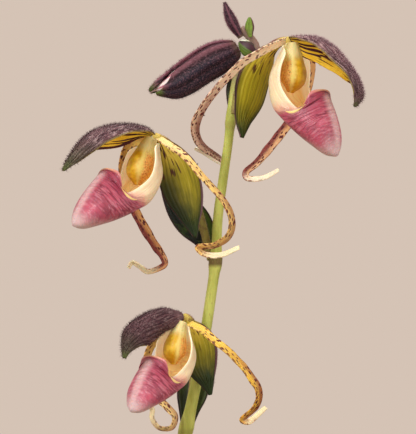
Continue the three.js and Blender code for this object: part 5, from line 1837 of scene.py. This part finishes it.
def bud_valve(middle, spread, reach):
    """One valve of the large bud: part of its rounded, ridged skin round a middle direction."""
    line = Course(BUD_AXIS)
    share = np.linspace(0, 1, 91)
    t = lerp(0.03, reach, share)
    centre, along = line.at(t), line.along(t)
    depth = np.array((0, 1, 0))
    side = unit(depth - along * (along @ depth)[:, None])
    face = np.cross(along, side)
    u = spaced_across(96)
    angle = middle + spread(share)[:, None] * DEG * u
    ridge = np.cos(BUD_RIDGES * angle)
    size = eased(BUD_RADIUS)(t)[:, None] + BUD_RIDGE * ridge
    grid = (centre[:, None] + face[:, None] * (size * np.cos(angle))[..., None]
            + side[:, None] * (size * np.sin(angle))[..., None])
    flat = np.stack(np.broadcast_arrays(angle * 8, t[:, None] * line.length), axis=2)
    hair = hair_outside(0.55, 0.35)
    form = thick_sheet(grid, u, share, BUD_SEPAL_THICKNESS, -1, flat, hair, edge_power=14)
    form.marks["ridge"] = np.concatenate([ridge, ridge[:, -2:0:-1]], axis=1)
    return form


# The valves of the large bud: where each faces round the bud, how it spreads and reaches, and its colours, the
# lower one's low colour being painted shade on its belly
BUD_VALVES = {
    "upper": (160, BUD_UPPER_SPREAD, 1, dict(light=(124, 76, 88), dark=(50, 22, 34), tip=(62, 78, 28))),
    "lower": (-20, BUD_LOWER_SPREAD, 0.95, dict(light=(112, 66, 76), dark=(50, 24, 34), tip=(84, 104, 36),
                                                low=(26, 20, 32))),
}


class MakeLargeBud(bpy.types.Operator):
    """Shape the large bud from its two valves, the pouch in their gap and its stalk"""

    bl_idname = "orchid.make_large_bud"
    bl_label = "Large bud"

    def execute(self, context):
        down = hair_finish("Bud hairs", (80, 38, 52), (160, 104, 120))
        for i, (name, (middle, spread, reach, look)) in enumerate(BUD_VALVES.items()):
            make_hairy_piece(f"large_bud_{name}_valve", bud_valve(middle * DEG, eased(spread), reach),
                             bud_skin(f"Large bud {name} valve", **look), "bud", f"bud_{name}_sepal",
                             f"large_bud_{name}_hairs", down, density=3.4, length=1.15, thickness=0.09,
                             segments=2, seed=140 + i)

        radius = eased(BUD_RADIUS)
        inner = stalk(
            BUD_AXIS[1:],
            lambda t, angle: (np.maximum(radius(lerp(0.125, 1, t)) - 1.1, 0.6) * (1 - 0.3 * t ** 6)
                              * (1 + 0.02 * np.cos(7 * angle))),
            steps=60, sides=40)
        blush = Finish("Pouch in the bud")
        cloud = blush.noise(blush.place(), 420, 3)
        stripe = abs((blush.mark("turn") * 9).maths("SINE"))
        colour = blush.layers((182, 104, 126), (stripe.rise(0.3, 0.8), (242, 226, 222)))
        skin = blush.surface(colour, cloud * 0.2 + 0.4, (cloud, 0.0003), flesh=(0.15, 0.002))
        make_piece("pouch_in_bud", inner.mesh("pouch_in_bud"), skin, "pouch", "bud_pouch")

        form = stalk(BUD_STALK, lambda t, angle: 1.3 * (1 + 0.04 * np.cos(6 * angle)), steps=24, sides=24,
                     hair=everywhere)
        pale = Finish("Bud stalk")
        cloud = pale.noise(pale.place(), 700, 3)
        colour = pale.layers((206, 212, 178), (cloud.rise(0.3, 0.7), (234, 236, 220)))
        skin = pale.surface(colour, cloud * 0.2 + 0.45, (cloud, 0.0002), flesh=(0.12, 0.0015))
        make_hairy_piece("bud_stalk_skin", form, skin, "stem", "bud_stalk", "bud_stalk_hairs", down,
                         density=4, length=0.4, thickness=0.05, lean=0.35, segments=2, seed=150)
        return {"FINISHED"}


class MakeSmallBud(bpy.types.Operator):
    """Shape the small closed bud at the stem's end"""

    bl_idname = "orchid.make_small_bud"
    bl_label = "Small bud"

    def execute(self, context):
        radius = eased(SMALL_BUD_RADIUS)
        form = stalk(SMALL_BUD_AXIS, lambda t, angle: radius(t) * (1 + 0.06 * np.cos(5 * angle)),
                     steps=60, sides=40, hair=lambda along, turn: smooth_step(along, 0.05, 0.3))
        form.marks["ridge"] = np.tile(np.cos(5 * full_turn(40)), (61, 1))
        skin = bud_skin("Small bud", light=(104, 58, 72), dark=(38, 20, 32), tip=(72, 44, 54))
        make_hairy_piece("small_bud_skin", form, skin, "bud", "small_bud", "small_bud_hairs",
                         bpy.data.materials["Bud hairs"], density=7, length=0.8, thickness=0.08, lean=0.35,
                         segments=2, seed=160)
        return {"FINISHED"}


class StageSettings(bpy.types.PropertyGroup):
    """The floor, the backdrop light and the lamps."""

    backdrop: colour_property("Backdrop", "Colour behind the plant", (0.835, 0.765, 0.71))
    key: FloatProperty(name="Key light", description="Power of the main light, in watts", default=22, min=0)
    fill: FloatProperty(name="Fill light", description="Power of the fill light, in watts", default=7, min=0)
    radius: length_property("Floor radius", "Radius of the round floor", 2.2, 0.5, 2.5)


class MakeStage(bpy.types.Operator):
    """Set the floor, the lights and the camera"""

    bl_idname = "orchid.make_stage"
    bl_label = "Stage"

    def execute(self, context):
        settings = context.scene.orchid_stage
        scene = context.scene
        scene.view_settings.view_transform = "Standard"
        scene.world = bpy.data.worlds.new("Studio")
        scene.world.use_nodes = True
        background = scene.world.node_tree.nodes["Background"]
        background.inputs["Color"].default_value = shade(picked(settings.backdrop))

        radii = np.linspace(settings.radius / MM, 1, 12)
        mesh = open_grid("floor", np.array([circle(radius, 0, full_turn(ROUND_SIDES)) for radius in radii]))
        finish = Finish("Pale floor")
        place = finish.place()
        x, y, _ = finish.parts(place)
        fade = ((x * x + y * y) ** 0.5).rise(settings.radius * 0.95, settings.radius * 0.45)
        colour = finish.layers((184, 174, 166), (finish.noise(place, 3, 2), (176, 167, 160)))
        mesh.materials.append(finish.surface(colour, 0.9, gloss=0.1, alpha=fade))
        floor = self.add("floor", mesh)

        lamps = (("Key", (-0.75, -1.25, 1.35), 0.9, settings.key),
                 ("Fill", (1.3, -0.9, 0.8), 1.2, settings.fill), ("Top", (0.1, 0.35, 1.7), 0.8, settings.fill))
        for name, place, size, power in lamps:
            light = bpy.data.lights.new(name, "AREA")
            light.shape = "DISK"
            light.size = size
            light.energy = power
            lamp = self.add(name, light, place)
            lamp.rotation_euler = (Vector(LAMP_AIM) - lamp.location).to_track_quat("-Z", "Y").to_euler()

        lens = bpy.data.cameras.new("Camera")
        lens.lens = CAMERA_LENS
        lens.clip_start = 0.02
        lens.clip_end = 50
        scene.camera = self.add("Camera", lens, CAMERA_PLACE)
        scene.camera.rotation_euler = (math.pi / 2, 0, 0)
        return {"FINISHED"}

    @staticmethod
    def add(name, data, place=(0, 0, 0)):
        """An object of the stage."""
        item = bpy.data.objects.new(name, data)
        item.location = place
        bpy.context.scene.collection.objects.link(item)
        return item


SETTINGS = {
    "orchid_pot": PotSettings, "orchid_bark": BarkSettings, "orchid_leaves": LeafSettings,
    "orchid_flowers": FlowerSettings, "orchid_stage": StageSettings,
}
OPERATORS = [
    MakeStage, MakePot, MakeBark, MakeLeaves, MakeStem, MakeOvaries, MakeColumns, MakePouches, MakeHoods,
    MakePetals, MakeSynsepals, MakeBracts, MakeLargeBud, MakeSmallBud,
]


class OrchidPanel(bpy.types.Panel):
    """The steps that build the orchid, in order, with their settings"""

    bl_idname = "VIEW3D_PT_orchid"
    bl_label = "Potted slipper orchid"
    bl_space_type = "VIEW_3D"
    bl_region_type = "UI"
    bl_category = "Orchid"

    def draw(self, context):
        for operator in OPERATORS:
            self.layout.operator(operator.bl_idname)
        for name, group in SETTINGS.items():
            box = self.layout.box()
            for prop in group.__annotations__:
                box.prop(getattr(context.scene, name), prop)


def register():
    for item in (*SETTINGS.values(), *OPERATORS, OrchidPanel):
        bpy.utils.register_class(item)
    for name, group in SETTINGS.items():
        setattr(bpy.types.Scene, name, PointerProperty(type=group))


def unregister():
    for name in SETTINGS:
        delattr(bpy.types.Scene, name)
    for item in (OrchidPanel, *OPERATORS, *SETTINGS.values()):
        bpy.utils.unregister_class(item)


def main():
    register()
    for operator in OPERATORS:
        group, step = operator.bl_idname.split(".")
        getattr(getattr(bpy.ops, group), step)()


if __name__ == "__main__":
    main()
